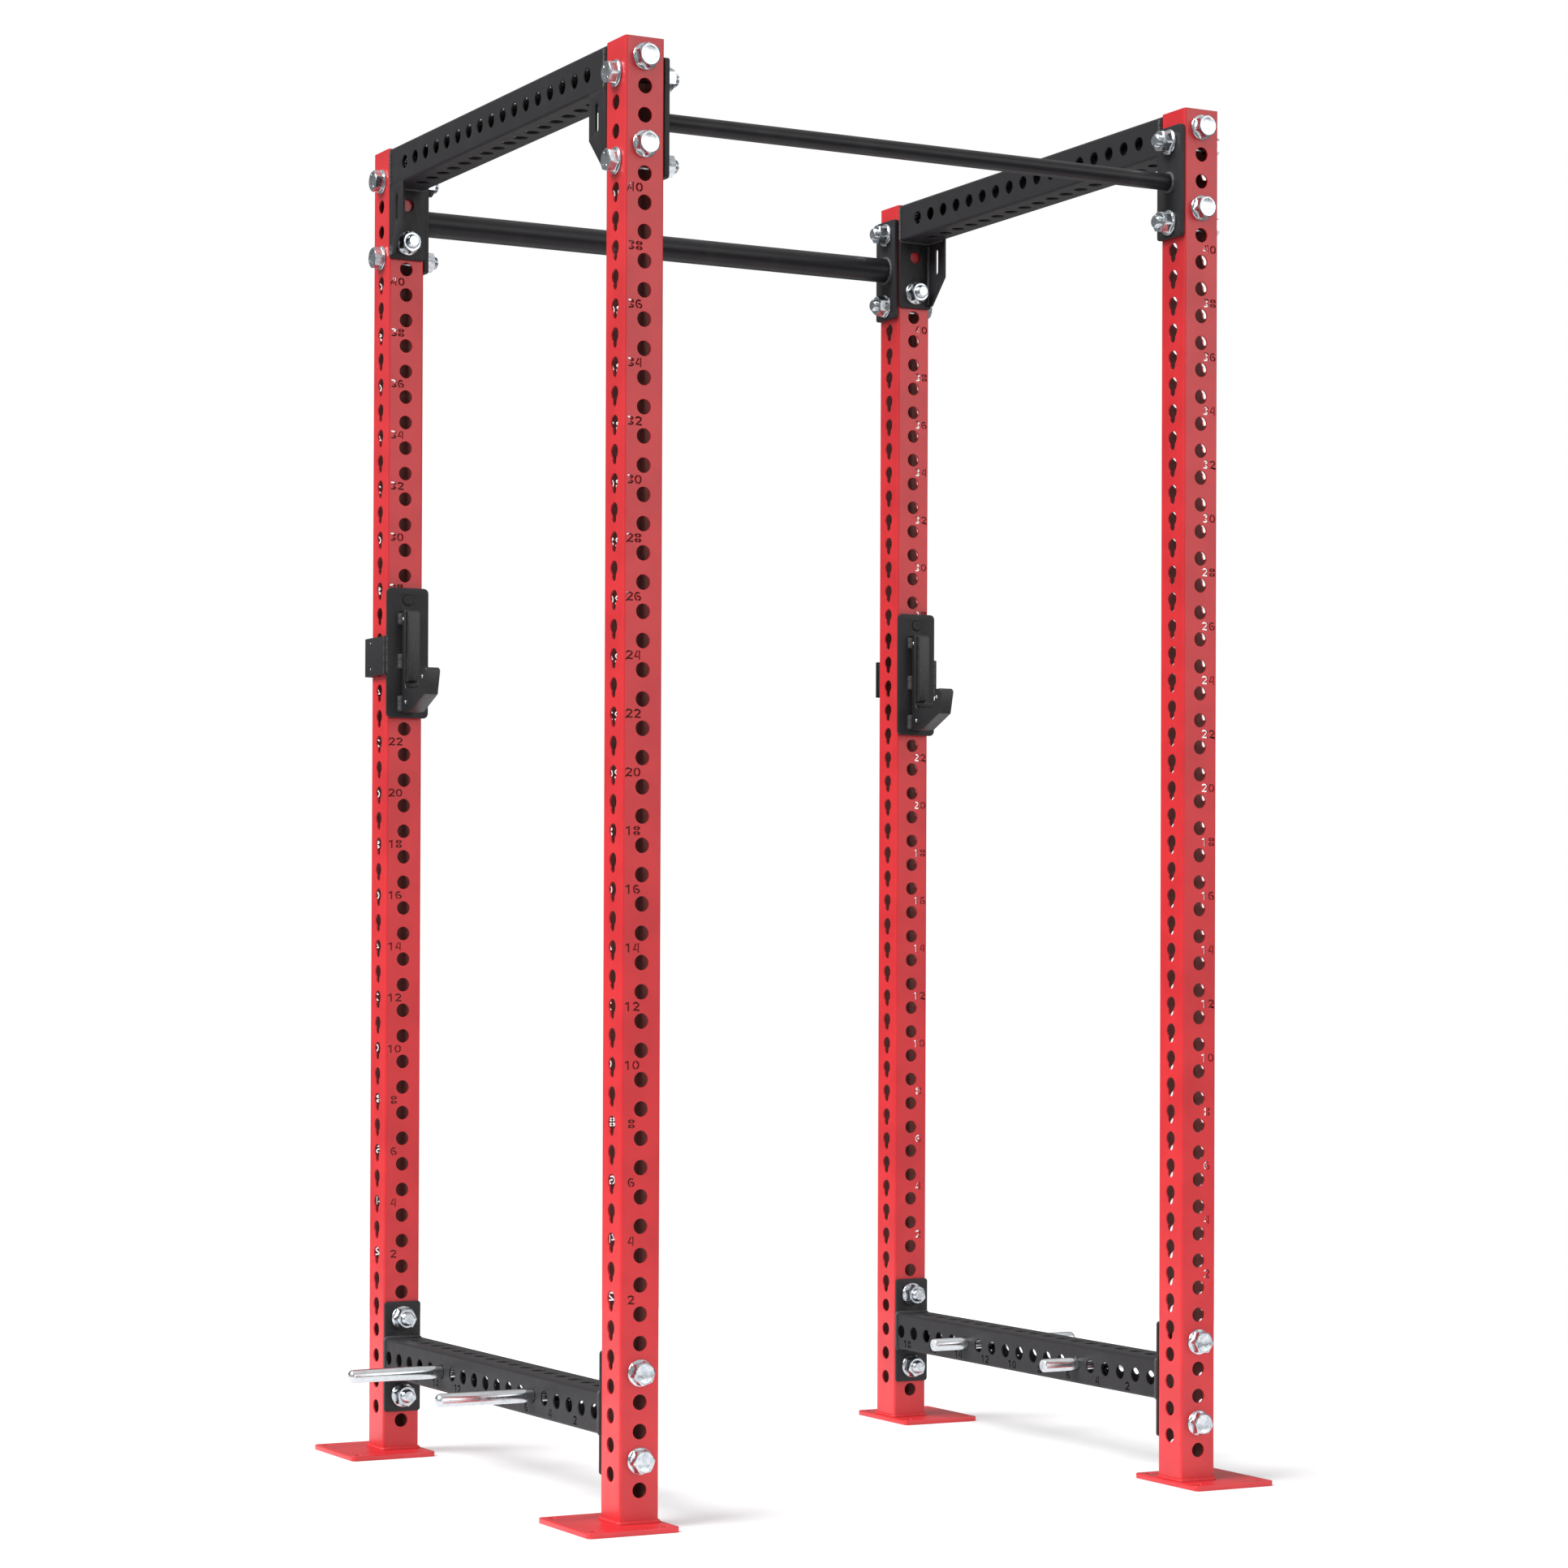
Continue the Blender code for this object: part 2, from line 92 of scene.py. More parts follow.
class Nodes:
    # adds nodes to a tree; the value of a socket is a number, a colour or a wire
    def __init__(self, tree):
        self.tree = tree

    def node(self, kind, settings=(), output=0, **values):
        made = self.tree.nodes.new(kind)
        for key, value in dict(settings).items():
            setattr(made, key, value)
        for key, value in values.items():
            socket = made.inputs[int(key[2:])] if key.startswith("in") else made.inputs[key.replace("_", " ")]
            self.feed(socket, value)
        return Wire(self, made.outputs[output])

    def feed(self, socket, value):
        if isinstance(value, Wire):
            self.tree.links.new(value.socket, socket)
        else:
            socket.default_value = value

    def math(self, operation, first, second):
        return self.node("ShaderNodeMath", {"operation": operation}, in0=first, in1=second)

    def band(self, value, low, high):
        # 0 below low, 1 above high, smooth between
        return self.node("ShaderNodeMapRange", {"interpolation_type": "SMOOTHSTEP"}, Value=value,
                         From_Min=low, From_Max=high)


class Paint(Nodes):
    # a Principled material whose fixed values sit on the shader and whose patterns are wired to it
    def __init__(self, name, **fixed):
        self.material = bpy.data.materials.new(name)
        self.material.use_nodes = True
        super().__init__(self.material.node_tree)
        self.shader = self.tree.nodes["Principled BSDF"]
        for socket, value in fixed.items():
            self.shader.inputs[socket.replace("_", " ")].default_value = value
        self.place = self.node("ShaderNodeTexCoord", output="Object")

    def noise(self, size, detail=2.0, roughness=0.5, scale=None):
        # cloudy pattern from 0 to 1 whose blobs are about size metres across
        place = self.node("ShaderNodeMapping", Vector=self.place, Scale=scale) if scale else self.place
        return self.node("ShaderNodeTexNoise", Vector=place, Scale=1 / size, Detail=detail,
                         Roughness=roughness)

    def cells(self, size):
        return self.node("ShaderNodeTexVoronoi", output="Distance", Vector=self.place, Scale=1 / size)

    def blend(self, factor, first, second):
        return self.node("ShaderNodeMix", {"data_type": "RGBA"}, output=2, in0=factor,
                         in6=(*first, 1) if isinstance(first, tuple) else first,
                         in7=(*second, 1) if isinstance(second, tuple) else second)

    def finish(self, colour, roughness=None, height=None, depth=0.0001, strength=0.5):
        # depth is how far the pattern's highest points stand out, in metres
        self.feed(self.shader.inputs["Base Color"], colour)
        if roughness:
            self.feed(self.shader.inputs["Roughness"], roughness)
        if height:
            bump = self.node("ShaderNodeBump", Height=height, Distance=depth, Strength=strength)
            self.feed(self.shader.inputs["Normal"], bump)
        return self.material


# tones are linear colours; a grain gives the size of each pattern in metres
redTone = {"bright": (0.58, 0.018, 0.024), "deep": (0.50, 0.013, 0.019), "inside": (0.30, 0.085, 0.080),
           "insideDust": (0.20, 0.080, 0.070)}
redGrain = {"cloud": 0.11, "speck": 0.0022, "peel": 0.0028, "finePeel": 0.0009, "sheen": 0.045,
            "insideCloud": 0.03, "insideSheen": 0.01, "insideGrain": 0.0012}


def makeRedCoat():
    # smooth powder coat: orange peel a few millimetres across, faint clouding and dust specks
    paint = Paint("redCoat", Coat_Weight=0.25, Coat_Roughness=0.2, Specular_IOR_Level=0.42)
    cloud = paint.noise(redGrain["cloud"], 3)
    speck = paint.band(paint.noise(redGrain["speck"], 2), 0.70, 0.80)
    colour = paint.blend(paint.band(cloud, 0.35, 0.70), redTone["bright"], redTone["deep"])
    colour = paint.blend(speck * 0.35, colour, redTone["deep"])
    peel = paint.noise(redGrain["peel"], 2, 0.55) + paint.noise(redGrain["finePeel"], 1) * 0.25
    rough = paint.noise(redGrain["sheen"], 3) * 0.14 + 0.30
    return paint.finish(colour, rough, peel, 0.00016, 0.30)


def makeInsideCoat():
    # thin dusty overspray inside a tube
    paint = Paint("redOverspray")
    colour = paint.blend(paint.noise(redGrain["insideCloud"], 3), redTone["inside"], redTone["insideDust"])
    rough = paint.noise(redGrain["insideSheen"], 2) * 0.2 + 0.55
    return paint.finish(colour, rough, paint.noise(redGrain["insideGrain"], 2), 0.0002, 0.5)


# the weld tone is much lighter grey than the face tone: painted highlight for the light that the sloping weld
# beads catch, on top of the beads' own duller finish
blackTone = {"face": (0.018, 0.017, 0.019), "worn": (0.030, 0.028, 0.030), "bar": (0.010, 0.009, 0.011),
             "weld": (0.075, 0.072, 0.073)}
blackGrain = {"patch": 0.07, "sheen": 0.02, "face": 0.0016, "bar": 0.0022}


def makeBlackCoat(name, tone, base):
    # satin charcoal powder coat with a fine grain and slightly rubbed patches
    paint = Paint(name, Specular_IOR_Level=0.26)
    patch = paint.band(paint.noise(blackGrain["patch"], 4, 0.6), 0.50, 0.75)
    colour = paint.blend(patch * 0.35, blackTone[tone], blackTone["worn"])
    rough = paint.noise(blackGrain["sheen"], 3) * 0.16 + base
    return paint.finish(colour, rough, paint.noise(blackGrain[tone], 2, 0.6), 0.00018, 0.35)


weldGrain = {"pits": 0.0016, "cloud": 0.003, "sheen": 0.002, "fine": 0.0008}


def makeWeld(name, tone, worn):
    # coated weld metal: pitted, duller than the plate beside it
    paint = Paint(name)
    pits = paint.band(paint.cells(weldGrain["pits"]), 0.0, 0.55)
    colour = paint.blend(paint.noise(weldGrain["cloud"], 3), tone, worn)
    rough = paint.noise(weldGrain["sheen"], 2) * 0.25 + 0.42
    return paint.finish(colour, rough, pits + paint.noise(weldGrain["fine"], 2), 0.0004, 0.6)


zincTone = {"clear": (0.66, 0.69, 0.71), "blue": (0.46, 0.51, 0.56), "gold": (0.60, 0.59, 0.54)}
zincGrain = {"blue": 0.009, "gold": 0.014, "marks": 0.004, "pits": 0.0016, "rings": 0.0006, "handling": 0.02}


def makeZinc():
    # bright zinc plate: clear metal with bluish and straw clouding, water marks and fine pits
    paint = Paint("brightZinc", Metallic=1.0)
    blue = paint.band(paint.noise(zincGrain["blue"], 2), 0.35, 0.65)
    tint = paint.blend(blue, zincTone["clear"], zincTone["blue"])
    gold = paint.band(paint.noise(zincGrain["gold"], 3), 0.55, 0.8)
    tint = paint.blend(gold * 0.6, tint, zincTone["gold"])
    rough = paint.band(paint.noise(zincGrain["marks"], 4, 0.65), 0.40, 0.75) * 0.22 + 0.15
    return paint.finish(tint, rough, paint.noise(zincGrain["pits"], 3, 0.65), 0.00016, 0.45)


def makePegSteel():
    # turned bar, zinc plated: fine rings across its length and soft handling marks
    paint = Paint("turnedZinc", Metallic=1.0)
    rings = paint.noise(zincGrain["rings"], 2, 0.6, (1, 0.04, 0.04))
    marks = paint.band(paint.noise(zincGrain["handling"], 4, 0.6), 0.45, 0.75)
    tint = paint.blend(marks * 0.5, zincTone["clear"], zincTone["blue"])
    return paint.finish(tint, marks * 0.16 + 0.18, rings, 0.00008, 0.30)


plasticTone = {"plain": (0.010, 0.0095, 0.0105), "cloudy": (0.010, 0.009, 0.011),
               "rubbed": (0.055, 0.050, 0.046)}
plasticGrain = {"cloud": 0.02, "sheen": 0.006, "fine": 0.0010, "streak": 0.004, "scuff": 0.0015,
                "padFine": 0.0012}


def makePlastic():
    # hard moulded plastic with a fine grain
    paint = Paint("blackPlastic")
    cloud = paint.noise(plasticGrain["cloud"], 3)
    colour = paint.blend(cloud * 0.5, plasticTone["plain"], plasticTone["cloudy"])
    rough = paint.noise(plasticGrain["sheen"], 3) * 0.18 + 0.34
    return paint.finish(colour, rough, paint.noise(plasticGrain["fine"], 2, 0.6), 0.0002, 0.5)


def makePadPlastic():
    # the plastic that the bar touches: sawn grain along its height, chalky scuffs
    paint = Paint("scuffedPlastic")
    streak = paint.noise(plasticGrain["streak"], 4, 0.7, (1, 1, 0.25))
    scuff = paint.band(streak * 0.6 + paint.noise(plasticGrain["scuff"], 2) * 0.4, 0.48, 0.66)
    colour = paint.blend(scuff * 0.7, plasticTone["plain"], plasticTone["rubbed"])
    rough = scuff * 0.18 + 0.38
    return paint.finish(colour, rough, streak + paint.noise(plasticGrain["padFine"], 2) * 0.6, 0.0004, 0.6)


redCoat, insideCoat = makeRedCoat(), makeInsideCoat()
blackCoat, barCoat = makeBlackCoat("blackCoat", "face", 0.40), makeBlackCoat("barCoat", "bar", 0.30)
# the black weld's lighter grey is painted highlight for light caught on the sloping beads, over their duller
# pitted finish
blackWeld = makeWeld("blackWeld", blackTone["weld"], blackTone["face"])
redWeld = makeWeld("redWeld", redTone["bright"], redTone["deep"])
zinc, pegSteel, plastic, padPlastic = makeZinc(), makePegSteel(), makePlastic(), makePadPlastic()
print("materials made")


# ---- outlines, as arrays of points taken anticlockwise

def arc(u, v, across, up, start, stop, count):
    # points of an ellipse: its centre plus its reaches times the cosine and sine of a turn in degrees
    turn = np.radians(np.linspace(start, stop, count))
    return np.column_stack([u + across * np.cos(turn), v + up * np.sin(turn)])


def ring(u, v, radius, count=24):
    # a circle whose last point stops one step short of its first
    return arc(u, v, radius, radius, 0, 360 * (count - 1) / count, count)


def roundedBox(low, high, radius, steps=6):
    # a rectangle between two corners, with a quarter circle at each
    (u0, v0), (u1, v1) = low, high
    corners = ((u1 - radius, v1 - radius), (u0 + radius, v1 - radius),
               (u0 + radius, v0 + radius), (u1 - radius, v0 + radius))
    return np.vstack([arc(u, v, radius, radius, 90 * k, 90 * k + 90, steps)
                      for k, (u, v) in enumerate(corners)])


def keyhole(u, v, head, slot, drop):
    # a round head with a narrower slot hanging from it that ends in a half circle
    bend = math.degrees(math.acos(slot / head))
    return np.vstack([arc(u, v, head, head, -bend, 180 + bend, 20),
                      arc(u, v - drop, slot, slot, 180, 360, 9)])


def swing(turn):
    # what rows of points are multiplied by to turn them anticlockwise about Z, by an angle in radians
    return np.array([[math.cos(turn), math.sin(turn), 0], [-math.sin(turn), math.cos(turn), 0], [0, 0, 1]])


def unit(vectors):
    # each vector divided by its length
    return vectors / np.linalg.norm(vectors, axis=-1, keepdims=True)


mitreLimit = {"grown": 0.4, "stroke": 1.3}


def grown(line, amount):
    # each point moves along the mitre of its two edges, so that every edge moves out by the amount;
    # at a very sharp point the mitre is held short
    step = unit(np.roll(line, -1, 0) - line)
    normal = np.column_stack([step[:, 1], -step[:, 0]])
    before = np.roll(normal, 1, 0)
    mitre = (normal + before) / np.maximum(1 + (normal * before).sum(1), mitreLimit["grown"])[:, None]
    return line + amount * mitre


def stroke(line, half):
    # a line thickened to both sides; the outer side of a sharp bend is kept short
    step = unit(np.diff(line, axis=0))
    left = np.column_stack([-step[:, 1], step[:, 0]])
    mitre = (left[:-1] + left[1:]) / (1 + (left[:-1] * left[1:]).sum(1))[:, None]
    offset = np.vstack([left[:1], mitre, left[-1:]])
    length = np.linalg.norm(offset, axis=1)[:, None]
    short = offset * np.minimum(1, mitreLimit["stroke"] / length)
    cross = step[:-1, 0] * step[1:, 1] - step[:-1, 1] * step[1:, 0]
    bend = np.concatenate([[0], cross, [0]])[:, None]
    onLeft = line + half * np.where(bend > 0, offset, short)
    onRight = line - half * np.where(bend < 0, offset, short)
    return np.vstack([onRight, onLeft[::-1]])


stencil = {"height": 0.0162, "width": 0.84, "half": 0.095, "bridge": 0.07, "space": 0.15}


def sweep(u, v, across, up, start, stop, count=10):
    # part of a ring between an outer ellipse and one a stroke's width inside it
    thick = 2 * stencil["half"]
    return np.vstack([arc(u, v, across, up, start, stop, count),
                      arc(u, v, across - thick, up - thick, stop, start, count)])


def digitCuts(digit):
    # outlines of a stencil digit one unit tall, with bridges that hold its middle; its corners are
    # shares of its height and width, and a round part is swept between two ellipses
    wide, half, gap = stencil["width"], stencil["half"], stencil["bridge"]
    mid, low, high, bowl = wide / 2, half, 1 - half, (1 - gap) / 4
    cut = math.degrees(math.asin(gap / 2 / (mid - half)))
    point = lambda *pairs: np.array(pairs)
    bar = lambda *pairs: stroke(point(*pairs), half)
    if digit == "1":
        return [bar((0.12 * wide, 0.74), (0.58 * wide, high), (0.58 * wide, 0.0))]
    if digit == "2":
        hook = arc(mid, high - 0.21, mid - half, 0.21, 170, -38, 12)
        return [stroke(np.vstack([hook, point((low + 0.02, low), (wide, low))]), half)]
    if digit == "4":
        thin = 0.8 * half
        return [stroke(point((0.50 * wide, 0.98), (thin, 0.32), (0.78 * wide - thin - gap, 0.32)), thin),
                stroke(point((0.78 * wide, 0.0), (0.78 * wide, 1.0)), thin)]
    if digit == "6":
        return [sweep(mid, 0.5, mid, 0.5, 48, 264, 16), sweep(mid, 0.31, mid, 0.31, -78, 112, 14)]
    if digit == "0":
        return [sweep(mid, 0.5, mid, 0.5, start + cut, start + 180 - cut, 14) for start in (90, -90)]
    if digit == "3":
        return [sweep(mid, 1 - bowl, mid, bowl, -86, 138, 14), sweep(mid, bowl, mid, bowl, -138, 86, 14)]
    return [sweep(mid, v, mid, bowl, start + cut, start + 180 - cut, 10)
            for v in (bowl, 1 - bowl) for start in (90, -90)]


def numberCuts(number, u, v, turn=0):
    # outlines of a number centred on a point, in metres, turned by quarter turns
    tall, wide, space = stencil["height"], stencil["width"], stencil["space"]
    digits = str(number)
    full = len(digits) * wide + (len(digits) - 1) * space
    spin = swing(turn * math.pi / 2)[:2, :2]
    cuts = []
    for place, digit in enumerate(digits):
        shift = np.array([place * (wide + space) - full / 2, -0.5])
        for line in digitCuts(digit):
            line = (line + shift) * tall
            area = (line[:, 0] * np.roll(line[:, 1], -1) - line[:, 1] * np.roll(line[:, 0], -1)).sum()
            cuts.append((line if area > 0 else line[::-1]) @ spin + (u, v))
    return cuts


# ---- meshes

clean = {"merge": 0.000004, "sliver": 0.000001, "sharpAngle": 38}


class Shape:
    # gathers points and faces of one piece; kind is which material the added faces take, and flat
    # leaves them unsmoothed
    def __init__(self):
        self.points, self.faces, self.kinds, self.flats, self.count = [], [], [], [], 0

    def add(self, points, faces, kind=0, flat=False):
        faces = [face for block in faces for face in (block + self.count).tolist()]
        self.points.append(points)
        self.faces += faces
        self.kinds += [kind] * len(faces)
        self.flats += [flat] * len(faces)
        self.count += len(points)
        return self

    def make(self, name, materials, body, nodes, slot, angle=clean["sharpAngle"]):
        # joins what touches, turns faces outwards and marks edges sharper than an angle
        mesh = bpy.data.meshes.new(name)
        mesh.from_pydata(np.vstack(self.points).tolist(), [], self.faces)
        mesh.polygons.foreach_set("material_index", self.kinds)
        mesh.polygons.foreach_set("use_smooth", [not flat for flat in self.flats])
        for material in materials:
            mesh.materials.append(material)
        work = bmesh.new()
        work.from_mesh(mesh)
        bmesh.ops.remove_doubles(work, verts=work.verts, dist=clean["merge"])
        bmesh.ops.dissolve_degenerate(work, edges=work.edges, dist=clean["sliver"])
        bmesh.ops.recalc_face_normals(work, faces=work.faces)
        for edge in work.edges:
            if len(edge.link_faces) == 2 and edge.calc_face_angle(0) > math.radians(angle):
                edge.smooth = False
        work.to_mesh(mesh)
        work.free()
        piece = bpy.data.objects.new(name, mesh)
        bpy.context.scene.collection.objects.link(piece)
        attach(piece, body)
        if nodes:
            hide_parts(*nodes)
        return piece


def grid(rows, columns, closed=True, first=0):
    # quads of a grid of points stored row after row; closed joins its last column to its first
    row, column = np.meshgrid(np.arange(rows - 1), np.arange(columns - (not closed)), indexing="ij")
    beside = (column + 1) % columns
    corners = [row * columns + column, row * columns + beside, (row + 1) * columns + beside,
               (row + 1) * columns + column]
    return first + np.stack(corners, -1).reshape(-1, 4)


def filled(lines):
    # triangles between an outline and the holes in it
    flat = [[(*point, 0.0) for point in line.tolist()] for line in lines]
    return np.array(tessellate_polygon(flat))


def layered(outer, holes, levels):
    # a flat shape carried through levels, each (how far the material shrinks, height), filled at both ends
    lines = [outer, *holes]
    starts = np.cumsum([0] + [len(line) for line in lines[:-1]])
    layers = []
    for shrink, height in levels:
        flat = np.vstack([grown(line, shrink if i else -shrink) for i, line in enumerate(lines)])
        layers.append(np.column_stack([flat, np.full(len(flat), height)]))
    each, faces = len(layers[0]), []
    for start, line in zip(starts, lines):
        row, column = np.divmod(grid(len(levels), len(line)), len(line))
        faces.append(row * each + start + column)
    cap = filled([layers[0][start:start + len(line), :2] for start, line in zip(starts, lines)])
    return np.vstack(layers), [*faces, cap, cap[:, ::-1] + each * (len(levels) - 1)]


def rimLevels(low, high, rim, steps=2):
    # heights down the side of a plate whose edges are rounded by quarter circles
    turn = np.linspace(0, math.pi / 2, steps + 1)
    shrink, drop = rim * (1 - np.sin(turn)), rim * (1 - np.cos(turn))
    return [*zip(shrink, high - drop), *zip(shrink[::-1], low + drop[::-1])]


def slab(outer, holes, low, high, rim=0.0008, steps=2):
    # a plate between two heights, with rounded edges
    return layered(outer, holes, rimLevels(low, high, rim, steps))


def turned(profile, count=32, reach=None):
    # each row of a profile (radius, height) goes once round the axis; a reach changes both with the turn
    turn = np.linspace(0, 2 * math.pi, count, endpoint=False)
    radius, height = (np.array(column, float)[:, None] for column in zip(*profile))
    radius = radius + 0 * turn
    height = height + 0 * turn
    if reach:
        radius, height = reach(turn, radius, height)
    points = np.stack([radius * np.cos(turn), radius * np.sin(turn), height], -1).reshape(-1, 3)
    return points, [grid(len(profile), count)]


def moved(made, axes, origin):
    # the shape's own three directions laid along three directions of the cage
    points, faces = made
    return points @ np.array(axes, float) + np.array(origin, float), faces


def evenly(line, spacing, closed):
    # the same line with points an even distance apart
    if closed:
        line = np.vstack([line, line[:1]])
    run = np.concatenate([[0], np.cumsum(np.linalg.norm(np.diff(line, axis=0), axis=1))])
    count = max(4, round(run[-1] / spacing))
    wanted = np.linspace(0, run[-1], count, endpoint=not closed)
    return np.column_stack([np.interp(wanted, run, line[:, k]) for k in range(3)])


# a wander is a share of the radius, a rate along the weld and a start
bead = {"ripple": 0.0034, "depth": 0.05, "crescent": 1.1, "spacing": 0.0011, "round": 10,
        "wanders": ((0.06, 310.0, 0.0), (0.05, 773.0, 1.0))}


def weld(line, radius, up, closed=False):
    # a round bead carried along a line; crescent ripples make its radius rise and fall
    line = evenly(np.array(line, float), bead["spacing"], closed)
    ahead = unit(np.roll(line, -1, 0) - np.roll(line, 1, 0) if closed else np.gradient(line, axis=0))
    across = unit(np.cross(ahead, np.array(up, float)))
    above = np.cross(across, ahead)
    turn = np.linspace(0, 2 * math.pi, bead["round"], endpoint=False)
    run = np.arange(len(line))[:, None] * bead["spacing"]
    wave = np.cos(2 * math.pi * run / bead["ripple"] - bead["crescent"] * np.cos(turn))
    wander = sum(share * np.sin(run * rate + start) for share, rate, start in bead["wanders"])
    reach = radius * (1 + bead["depth"] * wave + wander)
    if not closed:
        tail = np.minimum(run, run[::-1]) / radius
        reach = reach * np.sqrt(np.clip(1 - (1 - np.minimum(tail, 1)) ** 2, 0.0004, 1))
    points = (line[:, None] + reach[..., None] * (np.cos(turn)[:, None] * across[:, None]
              + np.sin(turn)[:, None] * above[:, None]))
    count = len(line)
    faces = [grid(count, bead["round"])]
    if closed:
        last, turns = (count - 1) * bead["round"], np.arange(bead["round"])
        beside = (turns + 1) % bead["round"]
        faces.append(np.stack([last + turns, last + beside, beside, turns], -1))
    else:
        caps = np.arange(bead["round"])[None]
        faces += [caps, caps[:, ::-1] + (count - 1) * bead["round"]]
    return points.reshape(-1, 3), faces


# ---- tubes with cut-outs

tube = {"size": 0.0762, "corner": 0.005, "wall": 0.003, "rim": 0.0005, "fineRim": 0.00012, "fineBelow": 0.02,
        "rimShare": 0.3, "bends": 6}
postLow, postHigh = nodeBox("upright_front_left")
postSize = float(postHigh[0] - postLow[0])


def tubePoint(face, across, along, depth, turn=None):
    # a point of a square tube: flat faces, with quarter circles between them; depth is into the wall
    outward = np.array([math.cos(face * math.pi / 2), math.sin(face * math.pi / 2)]).round()
    beside = np.array([-outward[1], outward[0]])
    across, along, depth = np.broadcast_arrays(across, along, depth)
    if turn is None:
        flat = outward * (tube["size"] / 2 - depth)[..., None] + beside * across[..., None]
    else:
        middle = (outward + beside) * (tube["size"] / 2 - tube["corner"])
        spoke = np.cos(turn)[..., None] * outward + np.sin(turn)[..., None] * beside
        flat = middle + spoke * (tube["corner"] - depth)[..., None]
    return np.concatenate([flat, along[..., None]], -1)


def cutTube(low, high, rows, breaks, cuts, inside=0):
    # a square tube as four flat faces with cut-outs, four rounded corners and two cut ends;
    # rows are heights where corner and face share points, breaks those where a face's pattern is split
    shape, rim, wall, share = Shape(), tube["rim"], tube["wall"], tube["rimShare"]
    rows = np.unique(np.round(np.clip([low, *rows, high], low, high), 7))
    half = postSize / 2 - tube["corner"]
    for face in range(4):
        marks = np.unique(np.round(np.clip([low, *breaks[face], high], low, high), 7))
        middles = np.array([line[:, 1].mean() for line in cuts[face]])
        for bottom, top in zip(marks, marks[1:]):
            side = rows[(rows >= bottom - 1e-6) & (rows <= top + 1e-6)]
            frameLine = np.vstack([np.column_stack([np.full(len(side), half), side]),
                                   np.column_stack([np.full(len(side), -half), side[::-1]])])
            inBand = [cuts[face][i] for i in np.flatnonzero((middles > bottom) & (middles < top))]
            rims = [rim if np.ptp(line[:, 1]) > tube["fineBelow"] else tube["fineRim"] for line in inBand]
            wide = [grown(line, edge) for line, edge in zip(inBand, rims)]
            faces = filled([frameLine, *wide])
            outerFlat, innerFlat = np.vstack([frameLine, *wide]), np.vstack([frameLine, *inBand])
            shape.add(tubePoint(face, *outerFlat.T, 0.0), [faces], 0, True)
            shape.add(tubePoint(face, *innerFlat.T, wall), [faces], inside, True)
            for line, broad in zip(inBand, wide):
                edge = abs(broad - line).max()
                between = (1 - share) * line + share * broad
                layers = [tubePoint(face, *broad.T, 0.0), tubePoint(face, *between.T, edge * share),
                          tubePoint(face, *line.T, edge), tubePoint(face, *line.T, wall)]
                shape.add(np.vstack(layers), [grid(4, len(line))], 0)
        turn = np.linspace(0, math.pi / 2, tube["bends"])
        for depth, kind in ((0.0, 0), (wall, inside)):
            corner = tubePoint(face, 0.0, rows[:, None] + 0 * turn, depth, turn)
            shape.add(corner.reshape(-1, 3), [grid(len(rows), len(turn), False)], kind)
        for height in (low, high):
            for flatEnd in (np.array([-half, half]), None):
                layers = [tubePoint(face, flatEnd, height, depth) if flatEnd is not None
                          else tubePoint(face, 0.0, height + 0 * turn, depth, turn) for depth in (0.0, wall)]
                shape.add(np.vstack(layers), [grid(2, len(layers[0]), False)], 0, True)
    return shape


# ---- uprights

upright = {"pitch": 0.0508, "firstHole": 0.05715, "holes": 50, "zeroHole": 4, "hole": 0.0135, "slot": 0.0075,
           "slotDrop": 0.0155, "keyed": (0, 40), "roundSides": (-4, -3, -2, -1, 41, 42, 43, 44),
           "numbers": range(2, 41, 2), "numberAside": 0.0185, "bandShare": 0.3}


def makeUpright(end, side):
    # a square tube with round holes and numbers on its front and rear faces, keyholes on its sides
    name = f"upright_{end}_{side}"
    low, high = nodeBox(name)
    middle, pitch, hole = (low + high) / 2, upright["pitch"], upright["hole"]
    level = lambda n: low[2] + upright["firstHole"] + (n + upright["zeroHole"]) * pitch
    levels = np.arange(upright["holes"]) - upright["zeroHole"]
    # on the numbered faces a band holds either a hole or the number between two holes
    faceBreaks = [level(n + part * upright["bandShare"]) for n in levels for part in (-1, 1)]
    sideBreaks = [level(n) for n in levels]
    keyed = range(upright["keyed"][0], upright["keyed"][1] + 1)
    sideCuts = [keyhole(0, level(n + 0.5), hole, upright["slot"], upright["slotDrop"]) for n in keyed]
    sideCuts += [ring(0, level(n + 0.5), hole) for n in upright["roundSides"]]
    cuts = {0: sideCuts, 2: sideCuts}
    for face, reading in ((3, 1), (1, -1)):
        aside = reading * sides[side] * upright["numberAside"]
        cuts[face] = [ring(0, level(n), hole) for n in levels]
        for number in upright["numbers"]:
            cuts[face] += numberCuts(number, aside, level(number + 0.5))
    breaks = {0: sideBreaks, 1: faceBreaks, 2: sideBreaks, 3: faceBreaks}
    shape = cutTube(low[2], high[2], faceBreaks + sideBreaks, breaks, cuts, inside=1)
    shape.points = [points + (middle[0], middle[1], 0) for points in shape.points]
    shape.make(name + "_tube", [redCoat, insideCoat], "frame", [name], "red_powder_coat")


for end in ends:
    for side in sides:
        makeUpright(end, side)
print("uprights made")


# ---- foot plates

foot = {"corner": 0.010, "hole": 0.0065, "inset": 0.020, "rim": 0.0012, "weld": 0.0042, "weldOut": 0.0005,
        "weldUp": 0.001}
upX, upY, upZ = (1, 0, 0), (0, 1, 0), (0, 0, 1)


def squareLoop(low, high, spread, height):
    # the outline of a tube, spread outwards, at a height
    flat = roundedBox(low - spread, high + spread, tube["corner"] + spread)
    return np.column_stack([flat, np.full(len(flat), height)])


